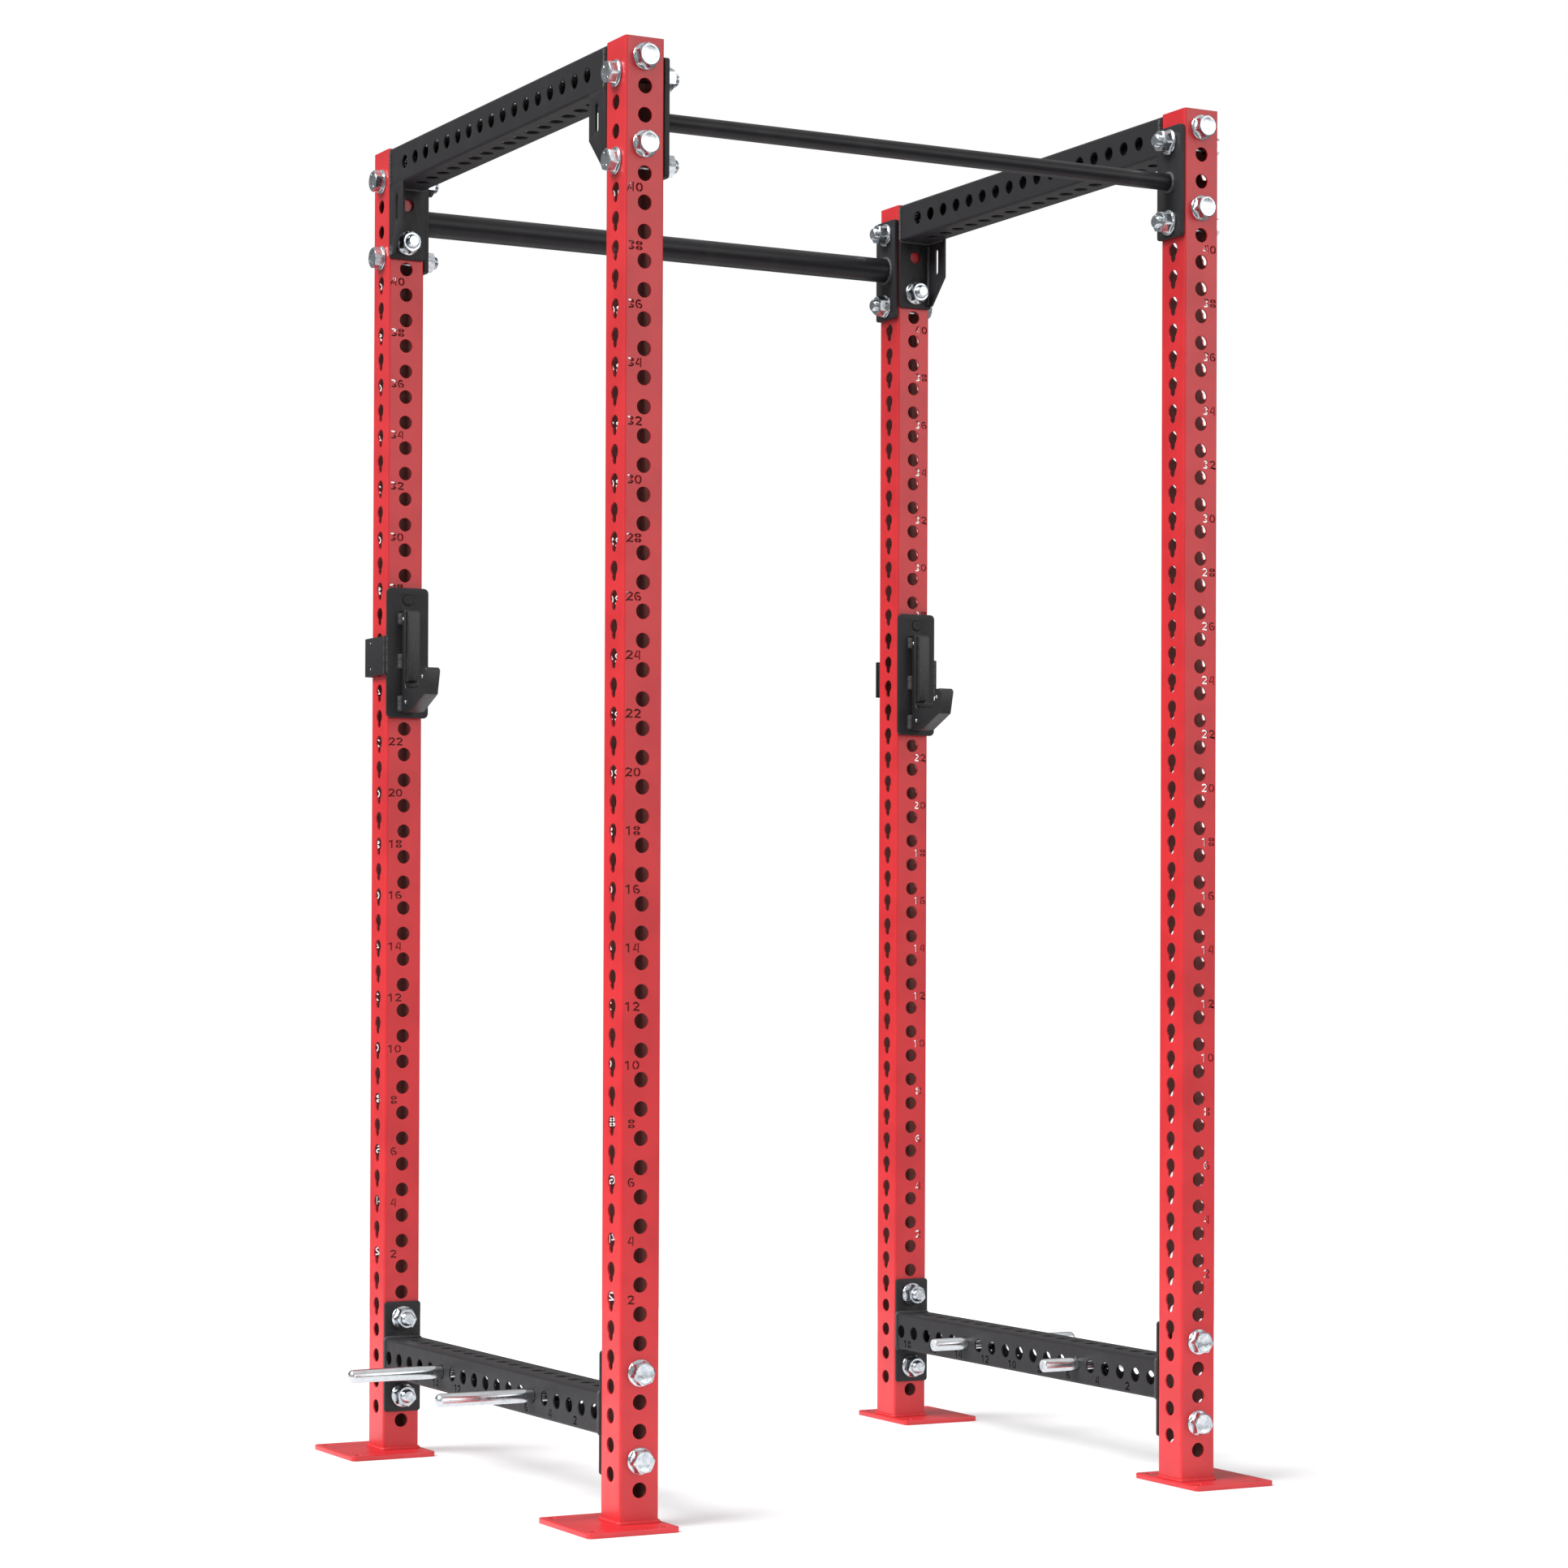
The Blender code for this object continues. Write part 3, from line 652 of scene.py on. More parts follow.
def makeFoot(end, side):
    # a plate with four anchor holes, and a bead of weld round the tube that stands on it
    name = f"foot_plate_{end}_{side}"
    low, high = nodeBox(name)
    inset = foot["inset"]
    holes = [ring(u, v, foot["hole"]) for u in (low[0] + inset, high[0] - inset)
             for v in (low[1] + inset, high[1] - inset)]
    shape = Shape().add(*slab(roundedBox(low[:2], high[:2], foot["corner"], 8), holes, low[2], high[2],
                              foot["rim"], 3))
    shape.make(name + "_steel", [redCoat], "frame", [name], "red_powder_coat")
    tubeLow, tubeHigh = nodeBox(f"upright_{end}_{side}")
    loop = squareLoop(tubeLow[:2], tubeHigh[:2], foot["weldOut"], high[2] + foot["weldUp"])
    Shape().add(*weld(loop, foot["weld"], upZ, True)).make(
        f"foot_weld_{end}_{side}", [redWeld], "frame", [], "red_powder_coat")


for end in ends:
    for side in sides:
        makeFoot(end, side)
print("feet made")


# ---- crossmembers

beam = {"pitch": 0.0508, "hole": 0.0135, "flange": 0.00635, "flangeCorner": 0.006, "flangeTall": 0.217424,
        "flangeRim": 0.0009, "weld": 0.0033, "lowerNumbers": range(2, 19, 2), "numberDrop": 0.0245,
        "window": 0.0125, "overlap": 0.002, "topGap": 0.0005, "openWeld": 0.004}
gusset = {"thick": 0.005, "reach": 0.062, "tip": 0.010, "slotWidth": 0.012, "inset": 0.0003, "rim": 0.0008,
          "overlap": 0.004, "taper": 0.95, "slotLow": 0.75, "slotHigh": 0.3, "flangeWeld": 0.0036,
          "beamWeld": 0.0034, "weldStart": 0.006}


def makeBeamTube(low, high, centre, sideCount, capCount, numbers):
    # the tube lies along Y with rows of holes centred on its middle; its section is height, then width
    pitch = beam["pitch"]
    sideRow, capRow = ((np.arange(count) - (count - 1) / 2) * pitch for count in (sideCount, capCount))
    plain = [y + part * pitch for y in sideRow for part in (-0.5, 0.5)]
    cuts = [[ring(0, y, beam["hole"]) for y in row] for row in (capRow, sideRow, capRow, sideRow)]
    numberBreaks = [low + beam["overlap"]] if numbers else []
    for number in numbers:
        numberBreaks.append(sideRow[number - 1] - pitch / 2)
        for face, down in ((1, 1), (3, -1)):
            cuts[face] += numberCuts(number, down * beam["numberDrop"], sideRow[number - 1] + pitch / 2, down)
    faceBreaks = numberBreaks or plain
    shape = cutTube(low, high, plain + numberBreaks, [plain, faceBreaks, plain, faceBreaks], cuts)
    shape.points = [points[:, [1, 2, 0]] + centre for points in shape.points]
    return shape


def makeCrossmember(where, side):
    # a square beam welded between two flange plates
    name = f"{where}_crossmember_{side}"
    low, high = nodeBox(name)
    x, innerY = (low[0] + high[0]) / 2, high[1] - beam["flange"]
    bolts = [nodeBox(f"bolt_front_{side}_{where}_crossmember_{spot}") for spot in ("top", "bottom")]
    boltZ = [(lowest[2] + highest[2]) / 2 for lowest, highest in bolts]
    middle = sum(boltZ) / 2
    if where == "lower":
        beamZ, counts, numbers = middle, (19, 17), beam["lowerNumbers"]
    else:
        beamZ, counts, numbers = high[2] - postSize / 2 - beam["topGap"], (17, 17), ()
    tubeEnd = innerY + beam["overlap"]
    shape = makeBeamTube(-tubeEnd, tubeEnd, (x, 0, beamZ), *counts, numbers)
    half, tall = postSize / 2, beam["flangeTall"] / 2
    outline = roundedBox((x - half, middle - tall), (x + half, middle + tall), beam["flangeCorner"])
    holes = [ring(x, z, beam["hole"]) for z in boltZ]
    if where == "upper":
        holes.append(ring(x, middle, beam["window"]))
    seam = Shape()
    for along in ends.values():
        plate = slab(outline, holes, innerY, high[1], beam["flangeRim"], 3)
        shape.add(*moved(plate, (upX, upZ, (0, along, 0)), (0, 0, 0)))
        flat = roundedBox((x - half, beamZ - half), (x + half, beamZ + half), tube["corner"])
        if where == "upper":
            # no weld where the beam is flush with the flange; the line starts after the gap
            flat = flat[flat[:, 1] < high[2] - beam["openWeld"]]
            flat = np.roll(flat, -int(np.argmax(np.linalg.norm(np.diff(flat, axis=0), axis=1))) - 1, axis=0)
        loop = np.column_stack([flat[:, 0], np.full(len(flat), along * innerY), flat[:, 1]])
        seam.add(*weld(loop, beam["weld"], upY, where == "lower"))
    shape.make(name + "_steel", [blackCoat], "frame", [name], "black_powder_coat")
    if where == "upper":
        addGussets(name, x, sides[side], innerY, beamZ - half, middle, seam)
    seam.make(name + "_welds", [blackWeld], "frame", [], "black_powder_coat")


def addGussets(name, x, way, innerY, top, middle, seam):
    # plates under the beam's outer face, with a plain slot and welds down the flange and along the beam
    outer = x + way * (postSize / 2 - gusset["inset"])
    inner = outer - way * gusset["thick"]
    bottom = middle - beam["flangeTall"] / 2 + beam["flangeCorner"]
    free, held, upper = innerY - gusset["reach"], innerY + 0.001, top + gusset["overlap"]
    corners = np.array([(free, upper), (free, middle - gusset["taper"] * beam["pitch"]),
                        (innerY - gusset["tip"], bottom), (held, bottom), (held, upper)])
    half, slotAt = gusset["slotWidth"] / 2, innerY - gusset["reach"] / 2
    slot = roundedBox((slotAt - half, middle - gusset["slotLow"] * beam["pitch"]),
                      (slotAt + half, middle + gusset["slotHigh"] * beam["pitch"]), half - 0.0001)
    for end, along in ends.items():
        plate = slab(corners, [slot], min(inner, outer), max(inner, outer), gusset["rim"], 2)
        shape = Shape().add(*moved(plate, ((0, along, 0), upZ, upX), (0, 0, 0)))
        shape.make(f"{name}_gusset_{end}", [blackCoat], "frame", [], "black_powder_coat")
        y, inset = along * innerY, gusset["overlap"]
        seam.add(*weld([(inner, y, bottom + inset), (inner, y, top - inset)], gusset["flangeWeld"], upY))
        line = [(inner, y - along * reach, top) for reach in (gusset["weldStart"], gusset["reach"] - inset)]
        seam.add(*weld(line, gusset["beamWeld"], upZ))


for side in sides:
    makeCrossmember("lower", side)
    makeCrossmember("upper", side)
print("crossmembers made")


# ---- pull-up bars

pullUp = {"plate": 0.010, "corner": 0.006, "plateRim": 0.0012, "weld": 0.0042, "overlap": 0.002,
          "radius": {"front": 0.015875, "rear": 0.0254}}


def makePullUpBar(end):
    # a rod across the cage, welded between two plates that lie against the uprights
    name = f"pull_up_bar_{end}"
    low, high = nodeBox(name)
    y, z = (low[1] + high[1]) / 2, (low[2] + high[2]) / 2
    radius = pullUp["radius"][end]
    inner = high[0] - pullUp["plate"]
    shape = Shape()
    rodEnd = inner + pullUp["overlap"]
    rod = turned([(0, -rodEnd), (radius, -rodEnd), (radius, rodEnd), (0, rodEnd)], 48)
    shape.add(*moved(rod, (upY, upZ, upX), (0, y, z)), kind=1)
    boltZ = [sum(nodeBox(f"bolt_{end}_left_pull_up_bar_{spot}"))[2] / 2 for spot in ("top", "bottom")]
    holes = [ring(y, height, beam["hole"]) for height in boltZ]
    outline = roundedBox((low[1], low[2]), (high[1], high[2]), pullUp["corner"])
    for way in sides.values():
        plate = slab(outline, holes, inner, high[0], pullUp["plateRim"], 3)
        shape.add(*moved(plate, (upY, upZ, (way, 0, 0)), (0, 0, 0)))
    shape.make(name + "_steel", [blackCoat, barCoat], "frame", [name], "black_powder_coat")
    seam = Shape()
    for way in sides.values():
        flat = ring(y, z, radius + 0.0005, 48)
        loop = np.column_stack([np.full(48, way * inner), flat])
        seam.add(*weld(loop, pullUp["weld"], upX, True))
    seam.make(name + "_welds", [blackWeld], "frame", [], "black_powder_coat")


for end in ends:
    makePullUpBar(end)
print("pull-up bars made")


# ---- bolts and nuts

bolt = {"flats": 0.0370, "head": 0.016, "flange": 0.004, "flangeRadius": 0.024, "nut": 0.019, "proud": 0.010,
        "radius": 0.0124, "pitch": 0.003175, "thread": 0.0011, "threadRows": 26, "chamferStart": 0.95,
        "marks": 6, "markStart": 0.0105, "markEnd": 0.0146, "markHalf": 0.0005, "markRise": 0.00015,
        "count": 72, "sharpAngle": 30}


def hexReach(turn):
    # distance from the axis to a hexagon's side
    sector = np.mod(turn + math.pi / 6, math.pi / 3) - math.pi / 6
    return bolt["flats"] / 2 / np.cos(sector)


def hexed(crown):
    # radii marked 1 or more follow the hexagon, and the crown's chamfer is a cone of 30 degrees
    def reach(turn, radius, height):
        flat = hexReach(turn)
        onHex = radius >= 1
        wide = np.where(onHex, flat + (radius - 1), radius)
        cone = crown + (bolt["flats"] / 2 * bolt["chamferStart"] - wide) * math.tan(math.pi / 6)
        return wide, np.where(onHex, np.minimum(height, cone), height)
    return reach


def collar():
    # the round flange under a head or a nut, from its top down to the face that clamps
    wide, thick = bolt["flangeRadius"], bolt["flange"]
    return [(1, thick + 0.0012), (1.0005, thick + 0.0004), (wide - 0.0022, thick - 0.0008),
            (wide - 0.0006, thick - 0.0016), (wide, thick - 0.0026), (wide, 0.0006), (wide - 0.0005, 0)]


def boltShape(grip):
    # head at the top, shank and threaded end below; height 0 is the face that the head clamps
    flange, radius = bolt["flange"], bolt["radius"]
    crown, inner = flange + bolt["head"], bolt["flats"] / 2 * bolt["chamferStart"]
    head = [(0, crown - 0.0004), (inner - 0.0035, crown - 0.0004), (inner - 0.0022, crown), (inner, crown),
            (1, crown), *collar(), (radius, 0)]
    nutTop = -grip - flange - bolt["nut"]
    end, start = nutTop - bolt["proud"], nutTop + 0.004
    rows = np.linspace(start, end + 0.0022, bolt["threadRows"])
    body = [(radius, start + 0.0001)] + [(radius - 1e-6, z) for z in rows]
    tip = [(radius - 0.0012, end + 0.0012), (radius - 0.0026, end), (0, end)]
    profile = head + body + tip

    def reach(turn, wide, height):
        wide, height = hexed(crown)(turn, wide, height)
        threaded = (height < start) & (height > end + 0.0020) & (np.abs(wide - radius) < 1e-5)
        wave = 0.5 + 0.5 * np.cos(2 * math.pi * height / bolt["pitch"] - turn)
        return np.where(threaded, radius - bolt["thread"] * wave, wide), height

    return turned(profile, bolt["count"], reach)


def spun(made, degrees):
    return made[0] @ swing(math.radians(degrees)), made[1]


def markShapes():
    # short raised bars on the head, evenly round it
    crown = bolt["flange"] + bolt["head"]
    outline = roundedBox((bolt["markStart"], -bolt["markHalf"]), (bolt["markEnd"], bolt["markHalf"]),
                         0.0004, 3)
    points, faces = slab(outline, [], crown - 0.0006, crown + bolt["markRise"], 0.0002, 1)
    return [(points @ swing(2 * math.pi * (k + 0.5) / bolt["marks"]), faces) for k in range(bolt["marks"])]


def nutShape():
    # height 0 is the face that the nut clamps and it rises along its bolt's end
    tall = bolt["flange"] + bolt["nut"]
    hole, inner = bolt["radius"] + 0.0002, bolt["flats"] / 2 * bolt["chamferStart"]
    profile = [(hole, 0.0005), (hole, tall - 0.0016), (hole + 0.0016, tall), (inner, tall), (1, tall),
               *collar(), (hole + 0.0005, 0), (hole, 0.0005)]
    return turned(profile, bolt["count"], hexed(tall))


def makeBolt(name, axis, way, lean):
    # way is +1 where the head points along the positive axis; lean is how far the screw is turned, in degrees
    low, high = nodeBox(name)
    middle = (low + high) / 2
    headEnd, nutEnd = (high, low) if way > 0 else (low, high)
    headFace = headEnd[axis] - way * (bolt["flange"] + bolt["head"])
    nutFace = nutEnd[axis] + way * (bolt["flange"] + bolt["nut"] + bolt["proud"])
    out, beside = np.eye(3)[axis] * way, np.array([0, 0, 1.0])
    axes = np.array([np.cross(beside, out), beside, out])
    headAt, nutAt = (np.where(np.arange(3) == axis, along, middle) for along in (headFace, nutFace))
    head = Shape().add(*moved(spun(boltShape(abs(headFace - nutFace)), lean), axes, headAt))
    for mark in markShapes():
        head.add(*moved(spun(mark, lean * 1.7), axes, headAt))
    head.make(name + "_screw", [zinc], "frame", [name], "bright_zinc", bolt["sharpAngle"])
    nutAxes = np.array([-axes[0], axes[1], -axes[2]])
    nut = Shape().add(*moved(spun(nutShape(), lean * 2.3 + 11), nutAxes, nutAt))
    nut.make(name.replace("bolt_", "nut_"), [zinc], "frame", [name], "bright_zinc", bolt["sharpAngle"])


# every screw stands at another angle
lean = 8.0
for end, endWay in ends.items():
    for side, sideWay in sides.items():
        for spot in ("top", "bottom"):
            for held, axis, way in (("upper_crossmember", 1, endWay), ("lower_crossmember", 1, endWay),
                                    ("pull_up_bar", 0, sideWay)):
                makeBolt(f"bolt_{end}_{side}_{held}_{spot}", axis, way, lean)
                lean = (lean + 37.0) % 60
print("bolts made")


# ---- storage pegs

peg = {"chamfer": 0.0015, "dome": 10, "round": 0.72, "cadSides": 16}


def makePeg(end, side):
    # a round bar: chamfered inner end, then straight, then a quarter circle that leaves a small flat;
    # the solid's box is a little lower than the bar, because its round is cut into flats
    name = f"peg_{end}_{side}"
    low, high = nodeBox(name)
    way, radius = sides[side], (high[2] - low[2]) / 2 / math.cos(math.pi / peg["cadSides"])
    inner, outer = (low[0], high[0]) if way > 0 else (high[0], low[0])
    long = abs(outer - inner)
    turn = np.linspace(0, math.pi / 2, peg["dome"])
    profile = [(0, 0), (radius - peg["chamfer"], 0), (radius - 0.0005, peg["chamfer"] * 0.6),
               (radius, peg["chamfer"] * 1.4)]
    bend = peg["round"] * radius
    profile += [*zip(radius - bend + bend * np.cos(turn), long - bend + bend * np.sin(turn)), (0, long)]
    start = (inner, (low[1] + high[1]) / 2, (low[2] + high[2]) / 2)
    made = moved(turned(profile, 40), (upY, upZ, (way, 0, 0)), start)
    Shape().add(*made).make(name + "_bar", [pegSteel], name, [name], "bright_zinc", 40)


for end in ends:
    for side in sides:
        makePeg(end, side)
print("pegs made")


# ---- bar hooks

hook = {"halfPlate": 0.0445, "plateLow": -0.233, "plateHigh": 0.025, "plateCorner": 0.010,
        "plateRim": 0.0011, "plate": 0.00635, "sunk": 0.002, "halfWidth": 0.0150, "core": 0.0048,
        "coreInset": 0.0040, "root": 0.0026, "armDepth": 0.020, "armTop": -0.0205, "padWidth": 0.0130,
        "padTop": -0.0235, "seat": -0.177, "innerRadius": 0.012, "padThick": 0.012, "padBottom": -0.163,
        "seatStart": 0.0345, "seatEnd": 0.0838, "seatThick": 0.008, "bottom": -0.223, "coverRim": 0.0016,
        "coverWall": 0.0034, "sharpAngle": 34}
wrap = {"gap": 0.0056, "lipGap": 0.0066, "halfTube": 0.0381, "start": -0.0155, "bend": 0.008,
        "innerBend": 0.002, "low": -0.1478, "high": -0.0718, "rim": 0.0009, "linerLift": 0.0032}
pin = {"radius": 0.0125, "end": 0.0102, "chamfer": 0.002}
screw = {"places": ((0.0112, -0.038), (0.106, -0.1575), (0.0245, -0.203)), "radius": 0.0036,
         "rise": 0.0018, "wrapPlaces": (-0.0825, -0.1340), "wrapDepth": 0.017, "wrapSize": 0.55}
# heights of each run from top to bottom, then for each run: how far aside, how far behind, radius
hookWeld = {"runs": ((-0.025, -0.049), (-0.106, -0.137), (-0.189, -0.221)),
            "passes": ((0.0005, 0.0012, 0.0048), (0.0035, 0.0, 0.0034), (-0.0015, 0.0035, 0.0032)),
            "wrapPasses": ((0.0, 0.0046), (0.0034, 0.0030))}


def armOutline(start):
    # side view of the arm: depth in front of the plate, height from the pin, anticlockwise
    depth, seat, radius = hook["armDepth"], hook["seat"], hook["innerRadius"]
    inner = arc(depth + radius, seat + radius, radius, radius, 180, 270, 9)
    nose = np.array([(0.084, seat), (0.097, -0.163), (0.104, -0.140), (0.119, -0.140), (0.1243, -0.1432),
                     (0.126, -0.148), (0.115, -0.1925), (0.049, hook["bottom"])])
    back = [(start, hook["armTop"]), (depth, hook["armTop"])]
    return np.vstack([back, inner, nose, [(start, hook["bottom"])]])[::-1]


def coreOutline():
    # the arm's outline drawn in, with its back carried straight into the plate
    line = grown(armOutline(0.004), -hook["coreInset"])
    atBack = line[:, :1] < 0.009
    return np.where(atBack, np.column_stack([np.full(len(line), -0.001), line[:, 1]]), line)


def wrapOutline():
    # plan view: outwards from the pin, then round the upright's side and along its front face
    inside, lip = wrap["halfTube"] + wrap["gap"], postSize + wrap["lipGap"]
    outside, lipOut = inside + hook["plate"], lip + hook["plate"]
    bend, inner = wrap["bend"], wrap["innerBend"]
    return np.vstack([[(inside, wrap["start"]), (outside, wrap["start"])],
                      arc(outside - bend, lipOut - bend, bend, bend, 0, 90, 7),
                      [(-wrap["halfTube"], lipOut), (-wrap["halfTube"], lip)],
                      arc(inside - inner, lip - inner, inner, inner, 90, 0, 4)])


def screwProfile():
    # button head with a socket, as (radius, height)
    size, turn = screw["radius"], np.linspace(0, math.pi / 2, 6)
    dome = [*zip(size * (0.55 + 0.45 * np.cos(turn))[::-1], screw["rise"] * np.sin(turn)[::-1])]
    return [(0, 0.0004), (size * 0.42, 0.0004), (size * 0.45, screw["rise"]), *dome, (size, -0.001),
            (0, -0.001)]


def makeHook(side):
    # every part of one bar hook, placed from its pin
    name, way = f"bar_hook_{side}", sides[side]
    pinLow, pinHigh = nodeBox(name + "_pin")
    origin = np.array([(pinLow[0] + pinHigh[0]) / 2, nodeBox(f"upright_rear_{side}")[0][1],
                       (pinLow[2] + pinHigh[2]) / 2])
    x, faceY, z = origin
    plateFront = pinLow[1] + hook["sunk"]
    part = lambda made, axes, shift: moved(made, axes, origin * (1, 0, 1) + shift)
    # sideways shapes: first direction forwards from the plate, then up, then across
    sideAxes = ((0, -1, 0), upZ, (way, 0, 0))
    fromPlate = np.array((0, plateFront, 0))

    def finish(shape, label, materials, nodes=(), slot="black_plastic", angle=clean["sharpAngle"]):
        shape.make(f"{name}_{label}", materials, name, [f"{name}_{node}" for node in nodes], slot, angle)

    # plate, core and wrap
    half = hook["halfPlate"]
    outline = roundedBox((-half, hook["plateLow"]), (half, hook["plateHigh"]), hook["plateCorner"], 8)
    plate = slab(outline, [ring(0, 0, pin["end"] + 0.0003, 32)], 0, hook["plate"], hook["plateRim"], 3)
    steel = Shape().add(*part(plate, ((-1, 0, 0), upZ, (0, -1, 0)), fromPlate + (0, hook["plate"], 0)))
    steel.add(*part(slab(coreOutline(), [], -hook["core"], hook["core"], 0.0006, 1), sideAxes, fromPlate))
    band = slab(wrapOutline(), [], wrap["low"], wrap["high"], wrap["rim"], 2)
    steel.add(*part(band, ((way, 0, 0), upY, upZ), (0, faceY, 0)))
    finish(steel, "steel", [blackCoat], ["bracket"], "black_powder_coat")

    # pin: a shallow dish in its welded end, and a chamfered end inside the upright
    radius, head, long = pin["radius"], pin["end"], pinHigh[1] - pinLow[1]
    behind = hook["sunk"] + hook["plate"] + 0.0002
    profile = [(0, 0.0010), (0.0046, 0.0010), (0.0053, 0.0001), (head - 0.0012, 0), (head - 0.0003, 0.0003),
               (head, 0.0012), (head, behind), (radius, behind), (radius, long - pin["chamfer"]),
               (radius - pin["chamfer"], long), (0, long)]
    pinMade = Shape().add(*moved(turned(profile, 40), (upX, (0, 0, -1), upY), (x, pinLow[1], z)))
    finish(pinMade, "pin_bar", [blackCoat], ["pin"], "black_powder_coat")

    # covers: two trays that meet in the middle and hold the core in their pockets
    wide, rim = hook["halfWidth"], hook["coverRim"]
    turn = np.linspace(0, math.pi / 2, 4)
    levels = [*zip(rim * (1 - np.sin(turn)), wide - rim * (1 - np.cos(turn))), (0.0, 0.0001),
              (hook["coverWall"], 0.0001), (hook["coverWall"], hook["core"] + 0.0002)]
    for label, across in (("outer_cover", way), ("inner_cover", -way)):
        tray = layered(armOutline(hook["root"]), [], levels)
        tray = part(tray, ((0, -1, 0), upZ, (across, 0, 0)), fromPlate)
        finish(Shape().add(*tray), label + "_shell", [plastic], [label], angle=hook["sharpAngle"])

    # pads and liners
    back = roundedBox((hook["armDepth"] + 0.0003, hook["padBottom"]),
                      (hook["armDepth"] + hook["padThick"], hook["padTop"]), 0.0030, 5)
    seat = roundedBox((hook["seatStart"], hook["seat"] + 0.0003),
                      (hook["seatEnd"], hook["seat"] + hook["seatThick"]), 0.002, 4)
    for label, outline, rim in (("back_pad", back, 0.0016), ("seat_pad", seat, 0.0014)):
        pad = slab(outline, [], -hook["padWidth"], hook["padWidth"], rim, 3)
        finish(Shape().add(*part(pad, sideAxes, fromPlate)), label + "_block", [padPlastic], [label],
               angle=hook["sharpAngle"])
    face, beside, behind = (nodeBox(f"{name}_{label}_liner") for label in ("face", "side", "back"))
    lifted = (0, 0, wrap["linerLift"])
    sheets = {"face": slab(roundedBox(face[0][[0, 2]], face[1][[0, 2]], 0.004, 5), [ring(x, z, 0.0131, 32)],
                           face[0][1], face[1][1], 0.0012, 2),
              "side": slab(roundedBox(beside[0][1:], beside[1][1:], 0.003, 4), [], beside[0][0], beside[1][0],
                           0.0010, 2),
              "back": slab(roundedBox(behind[0][[0, 2]], behind[1][[0, 2]], 0.004, 5), [], behind[0][1],
                           behind[1][1], 0.0010, 2)}
    for label, sheet in sheets.items():
        axes = (upY, upZ, upX) if label == "side" else (upX, upZ, upY)
        made = moved(sheet, axes, (0, 0, 0) if label == "face" else lifted)
        finish(Shape().add(*made), label + "_liner_sheet", [padPlastic], [label + "_liner"])

    # welds: three runs each side of the core, and one down the wrap's joint
    seam = Shape()
    for top, bottom in hookWeld["runs"]:
        for across in (-1, 1):
            for aside, front, size in hookWeld["passes"]:
                line = [(x + across * (wide + aside), plateFront - front, z + height)
                        for height in (top, bottom)]
                seam.add(*weld(line, size, upY))
    wrapX = x + way * (half - 0.0006)
    for aside, size in hookWeld["wrapPasses"]:
        line = [(wrapX + way * aside, plateFront + 0.0042 + aside * 0.3, z + height)
                for height in (wrap["high"] + 0.001, wrap["low"] - 0.001)]
        seam.add(*weld(line, size, upX))
    finish(seam, "welds", [blackWeld], slot="black_powder_coat")

    # screws, three on each side of the arm and two small ones on the wrap
    screws = Shape()
    for depth, height in screw["places"]:
        for across in (-1, 1):
            screws.add(*moved(turned(screwProfile(), 18), ((0, -1, 0), (0, 0, across), (across, 0, 0)),
                              (x + across * wide, plateFront - depth, z + height)))
    wrapOut = wrap["halfTube"] + wrap["gap"] + hook["plate"]
    for height in screw["wrapPlaces"]:
        small = [(radius * screw["wrapSize"], rise * 0.4) for radius, rise in screwProfile()]
        screws.add(*moved(turned(small, 12), ((0, -1, 0), (0, 0, way), (way, 0, 0)),
                          (x + way * wrapOut, faceY + postSize / 2 + screw["wrapDepth"], z + height)))
    finish(screws, "screws", [zinc], slot="bright_zinc", angle=40)


for side in sides:
    makeHook(side)
print("hooks made")


# ---- floor, light and camera

stageLook = {"floor": (0.68, 0.68, 0.69), "floorCloud": (0.65, 0.65, 0.66), "floorGlow": 0.24, "radius": 3.1,
             "floorDrop": 0.0002, "sides": 96}
skyLight = {"base": 0.30, "belt": 0.20, "panel": 2.1, "left": 0.25, "over": 0.6, "under": 0.28}
sunLight = {"power": 4.2, "spread": 34, "towards": (-0.72, 0.02, 0.69)}
view = {"sensor": 36, "lens": 84.541, "shift": (0.08347, 0.08165), "clip": 200,
        "place": (-3.49373, -6.24730, 1.01494), "yaw": 27.226, "pitch": 0.485, "roll": 0.234}


def makeStage():
    # a round floor just under the feet
    floorMesh = bpy.data.meshes.new("floor")
    edge, sideCount = ring(0, 0, stageLook["radius"], stageLook["sides"]), stageLook["sides"]
    points = np.column_stack([edge, np.full(sideCount, cadLow[2] - stageLook["floorDrop"])])
    floorMesh.from_pydata(points.tolist(), [], [list(range(sideCount))])
    floor = bpy.data.objects.new("floor", floorMesh)
    bpy.context.scene.collection.objects.link(floor)
    paint = Paint("floorPaint", Roughness=0.8, Emission_Color=(1, 1, 1, 1),
                  Emission_Strength=stageLook["floorGlow"])
    tone = paint.blend(paint.noise(1.5, 2) * 0.12, stageLook["floor"], stageLook["floorCloud"])
    floorMesh.materials.append(paint.finish(tone))


def placed(name, data, right, above, back, place=(0, 0, 0)):
    # an object whose own three directions are laid along three directions of the scene
    made = bpy.data.objects.new(name, data)
    turn = Matrix(np.column_stack([right, above, back]).tolist())
    made.matrix_world = Matrix.Translation(place) @ turn.to_4x4()
    bpy.context.scene.collection.objects.link(made)
    return made


def makeSun():
    # a very wide soft source a long way off
    light = bpy.data.lights.new("keySun", "SUN")
    light.energy, light.angle = sunLight["power"], math.radians(sunLight["spread"])
    back = unit(np.array(sunLight["towards"]))
    right = unit(np.cross((0, 0, 1.0), back))
    placed("keySun", light, right, np.cross(back, right), back)


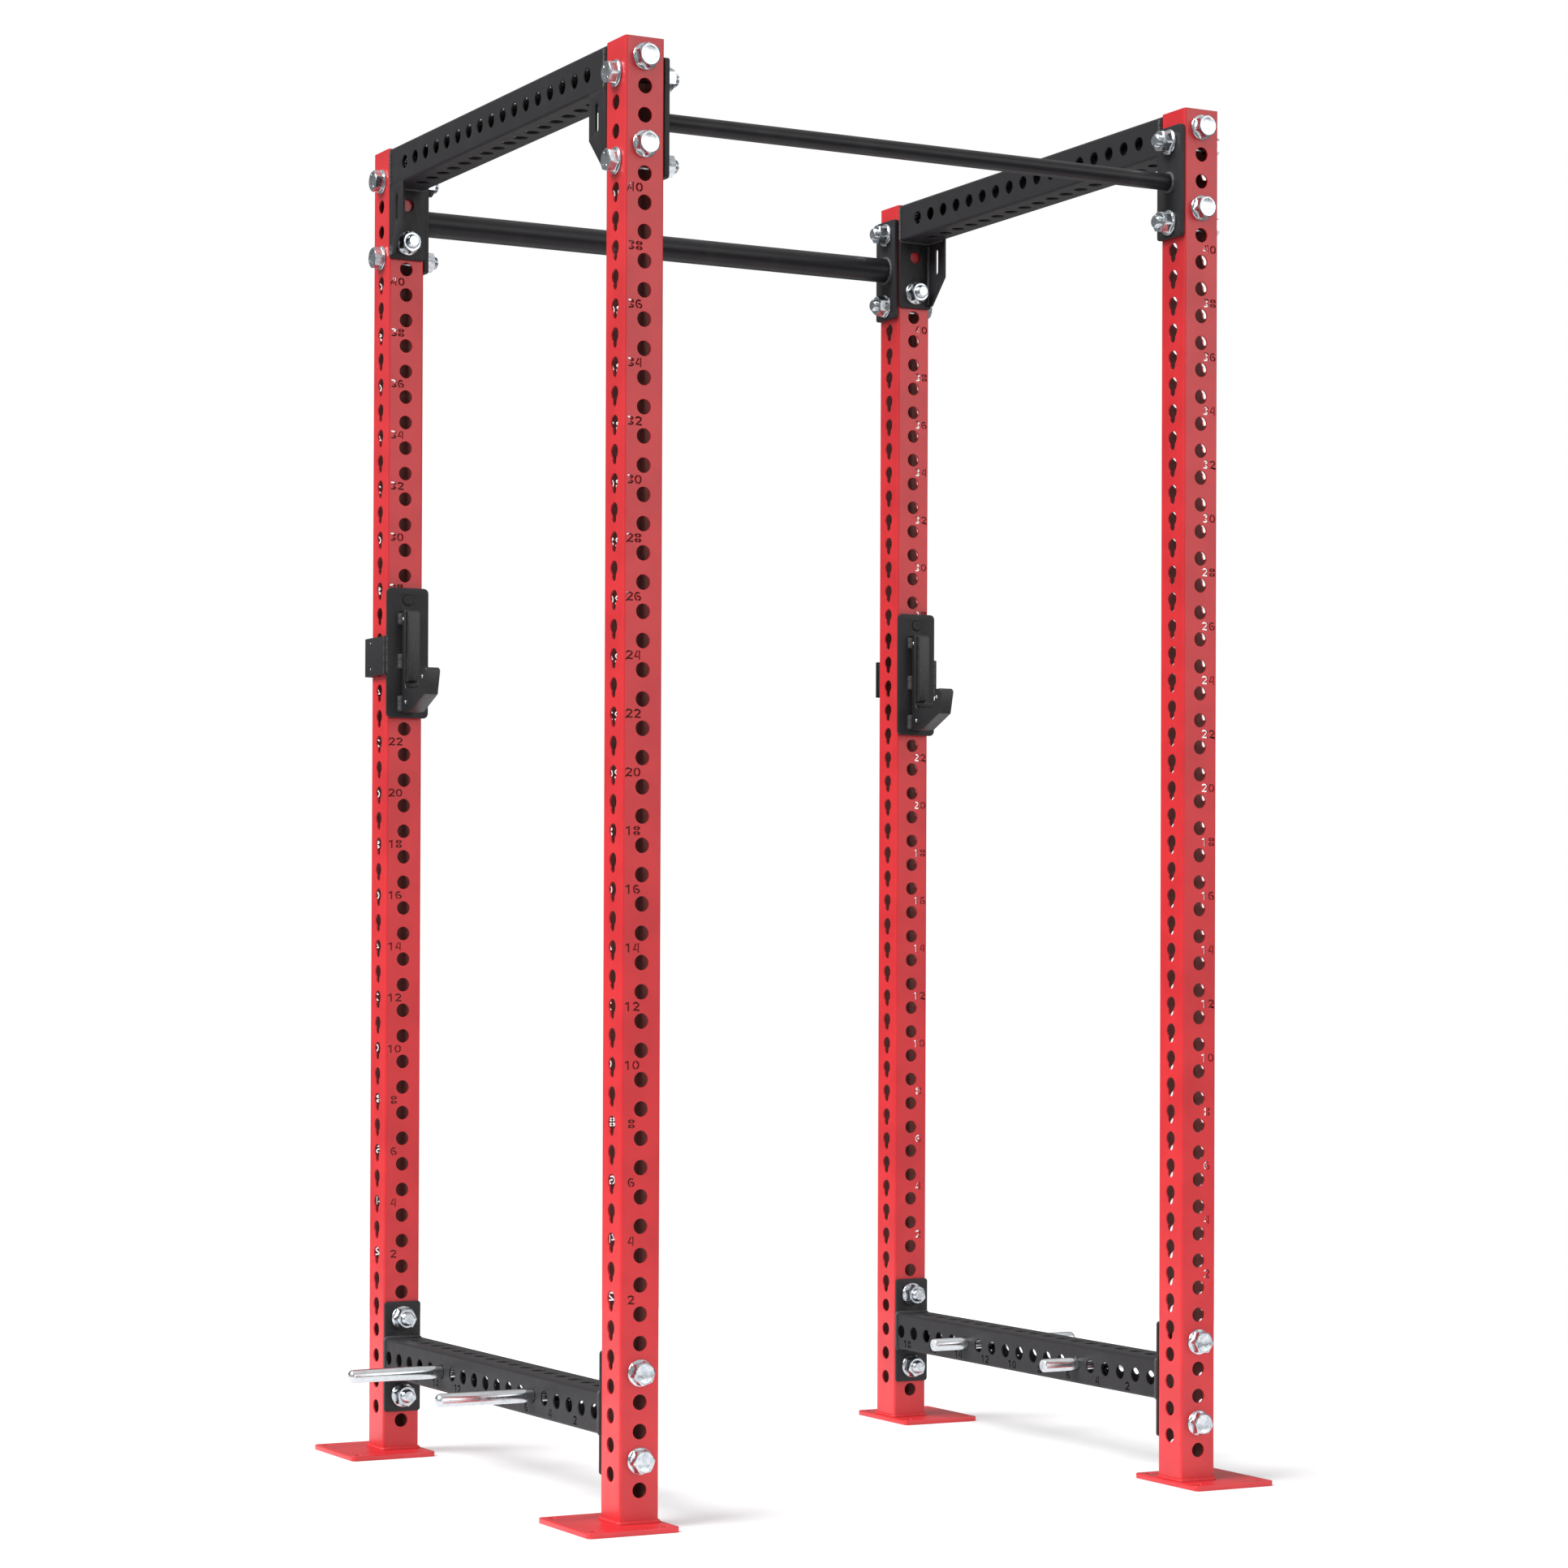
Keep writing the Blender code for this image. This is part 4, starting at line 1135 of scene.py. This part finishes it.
def makeSky():
    # a white studio seen plain, whose light has a dim belt at eye height, a bright panel to the front right,
    # a softer one to the left and a bright ceiling
    world = bpy.data.worlds.new("studio")
    bpy.context.scene.world = world
    world.use_nodes = True
    sky = Nodes(world.node_tree)
    way = sky.node("ShaderNodeTexCoord", output="Generated")
    split = sky.node("ShaderNodeSeparateXYZ", Vector=way).socket.node.outputs
    across, along, height = (Wire(sky, socket) for socket in split)
    panel = sky.band(across * 0.45 - along * 0.89, 0.62, 0.93) * sky.band(height, -0.02, 0.10)
    panel = panel * (1 - sky.band(height, 0.45, 0.72))
    left = sky.band(across * -0.97 - along * 0.2, 0.35, 0.85)
    over = sky.band(height, 0.55, 0.85)
    belt = sky.band(height, 0.05, 0.30)
    tone = belt * (skyLight["base"] - skyLight["belt"]) + skyLight["belt"] + panel * skyLight["panel"]
    tone = tone + left * skyLight["left"] + over * skyLight["over"]
    below = 1 - sky.band(height, -0.12, -0.02)
    tone = tone * (1 - below) + below * skyLight["under"]
    seen = sky.node("ShaderNodeLightPath", output="Is Camera Ray")
    strength = tone * (1 - seen) + seen
    back = world.node_tree.nodes["Background"]
    back.inputs["Color"].default_value = (1, 1, 1, 1)
    world.node_tree.links.new(strength.socket, back.inputs["Strength"])


def makeCamera():
    # the lens shift moves the cage to its place in the view
    data = bpy.data.cameras.new("camera")
    data.sensor_width, data.lens, data.clip_end = view["sensor"], view["lens"], view["clip"]
    data.shift_x, data.shift_y = view["shift"]
    yaw, pitch, roll = (math.radians(view[key]) for key in ("yaw", "pitch", "roll"))
    ahead = np.array([math.sin(yaw) * math.cos(pitch), math.cos(yaw) * math.cos(pitch), math.sin(pitch)])
    level = unit(np.cross(ahead, (0, 0, 1.0)))
    over = np.cross(level, ahead)
    right = level * math.cos(roll) + over * math.sin(roll)
    above = over * math.cos(roll) - level * math.sin(roll)
    bpy.context.scene.camera = placed("camera", data, right, above, -ahead, view["place"])


makeStage()
makeSky()
makeSun()
makeCamera()
bpy.context.scene.view_settings.view_transform = "Standard"
print("stage made")
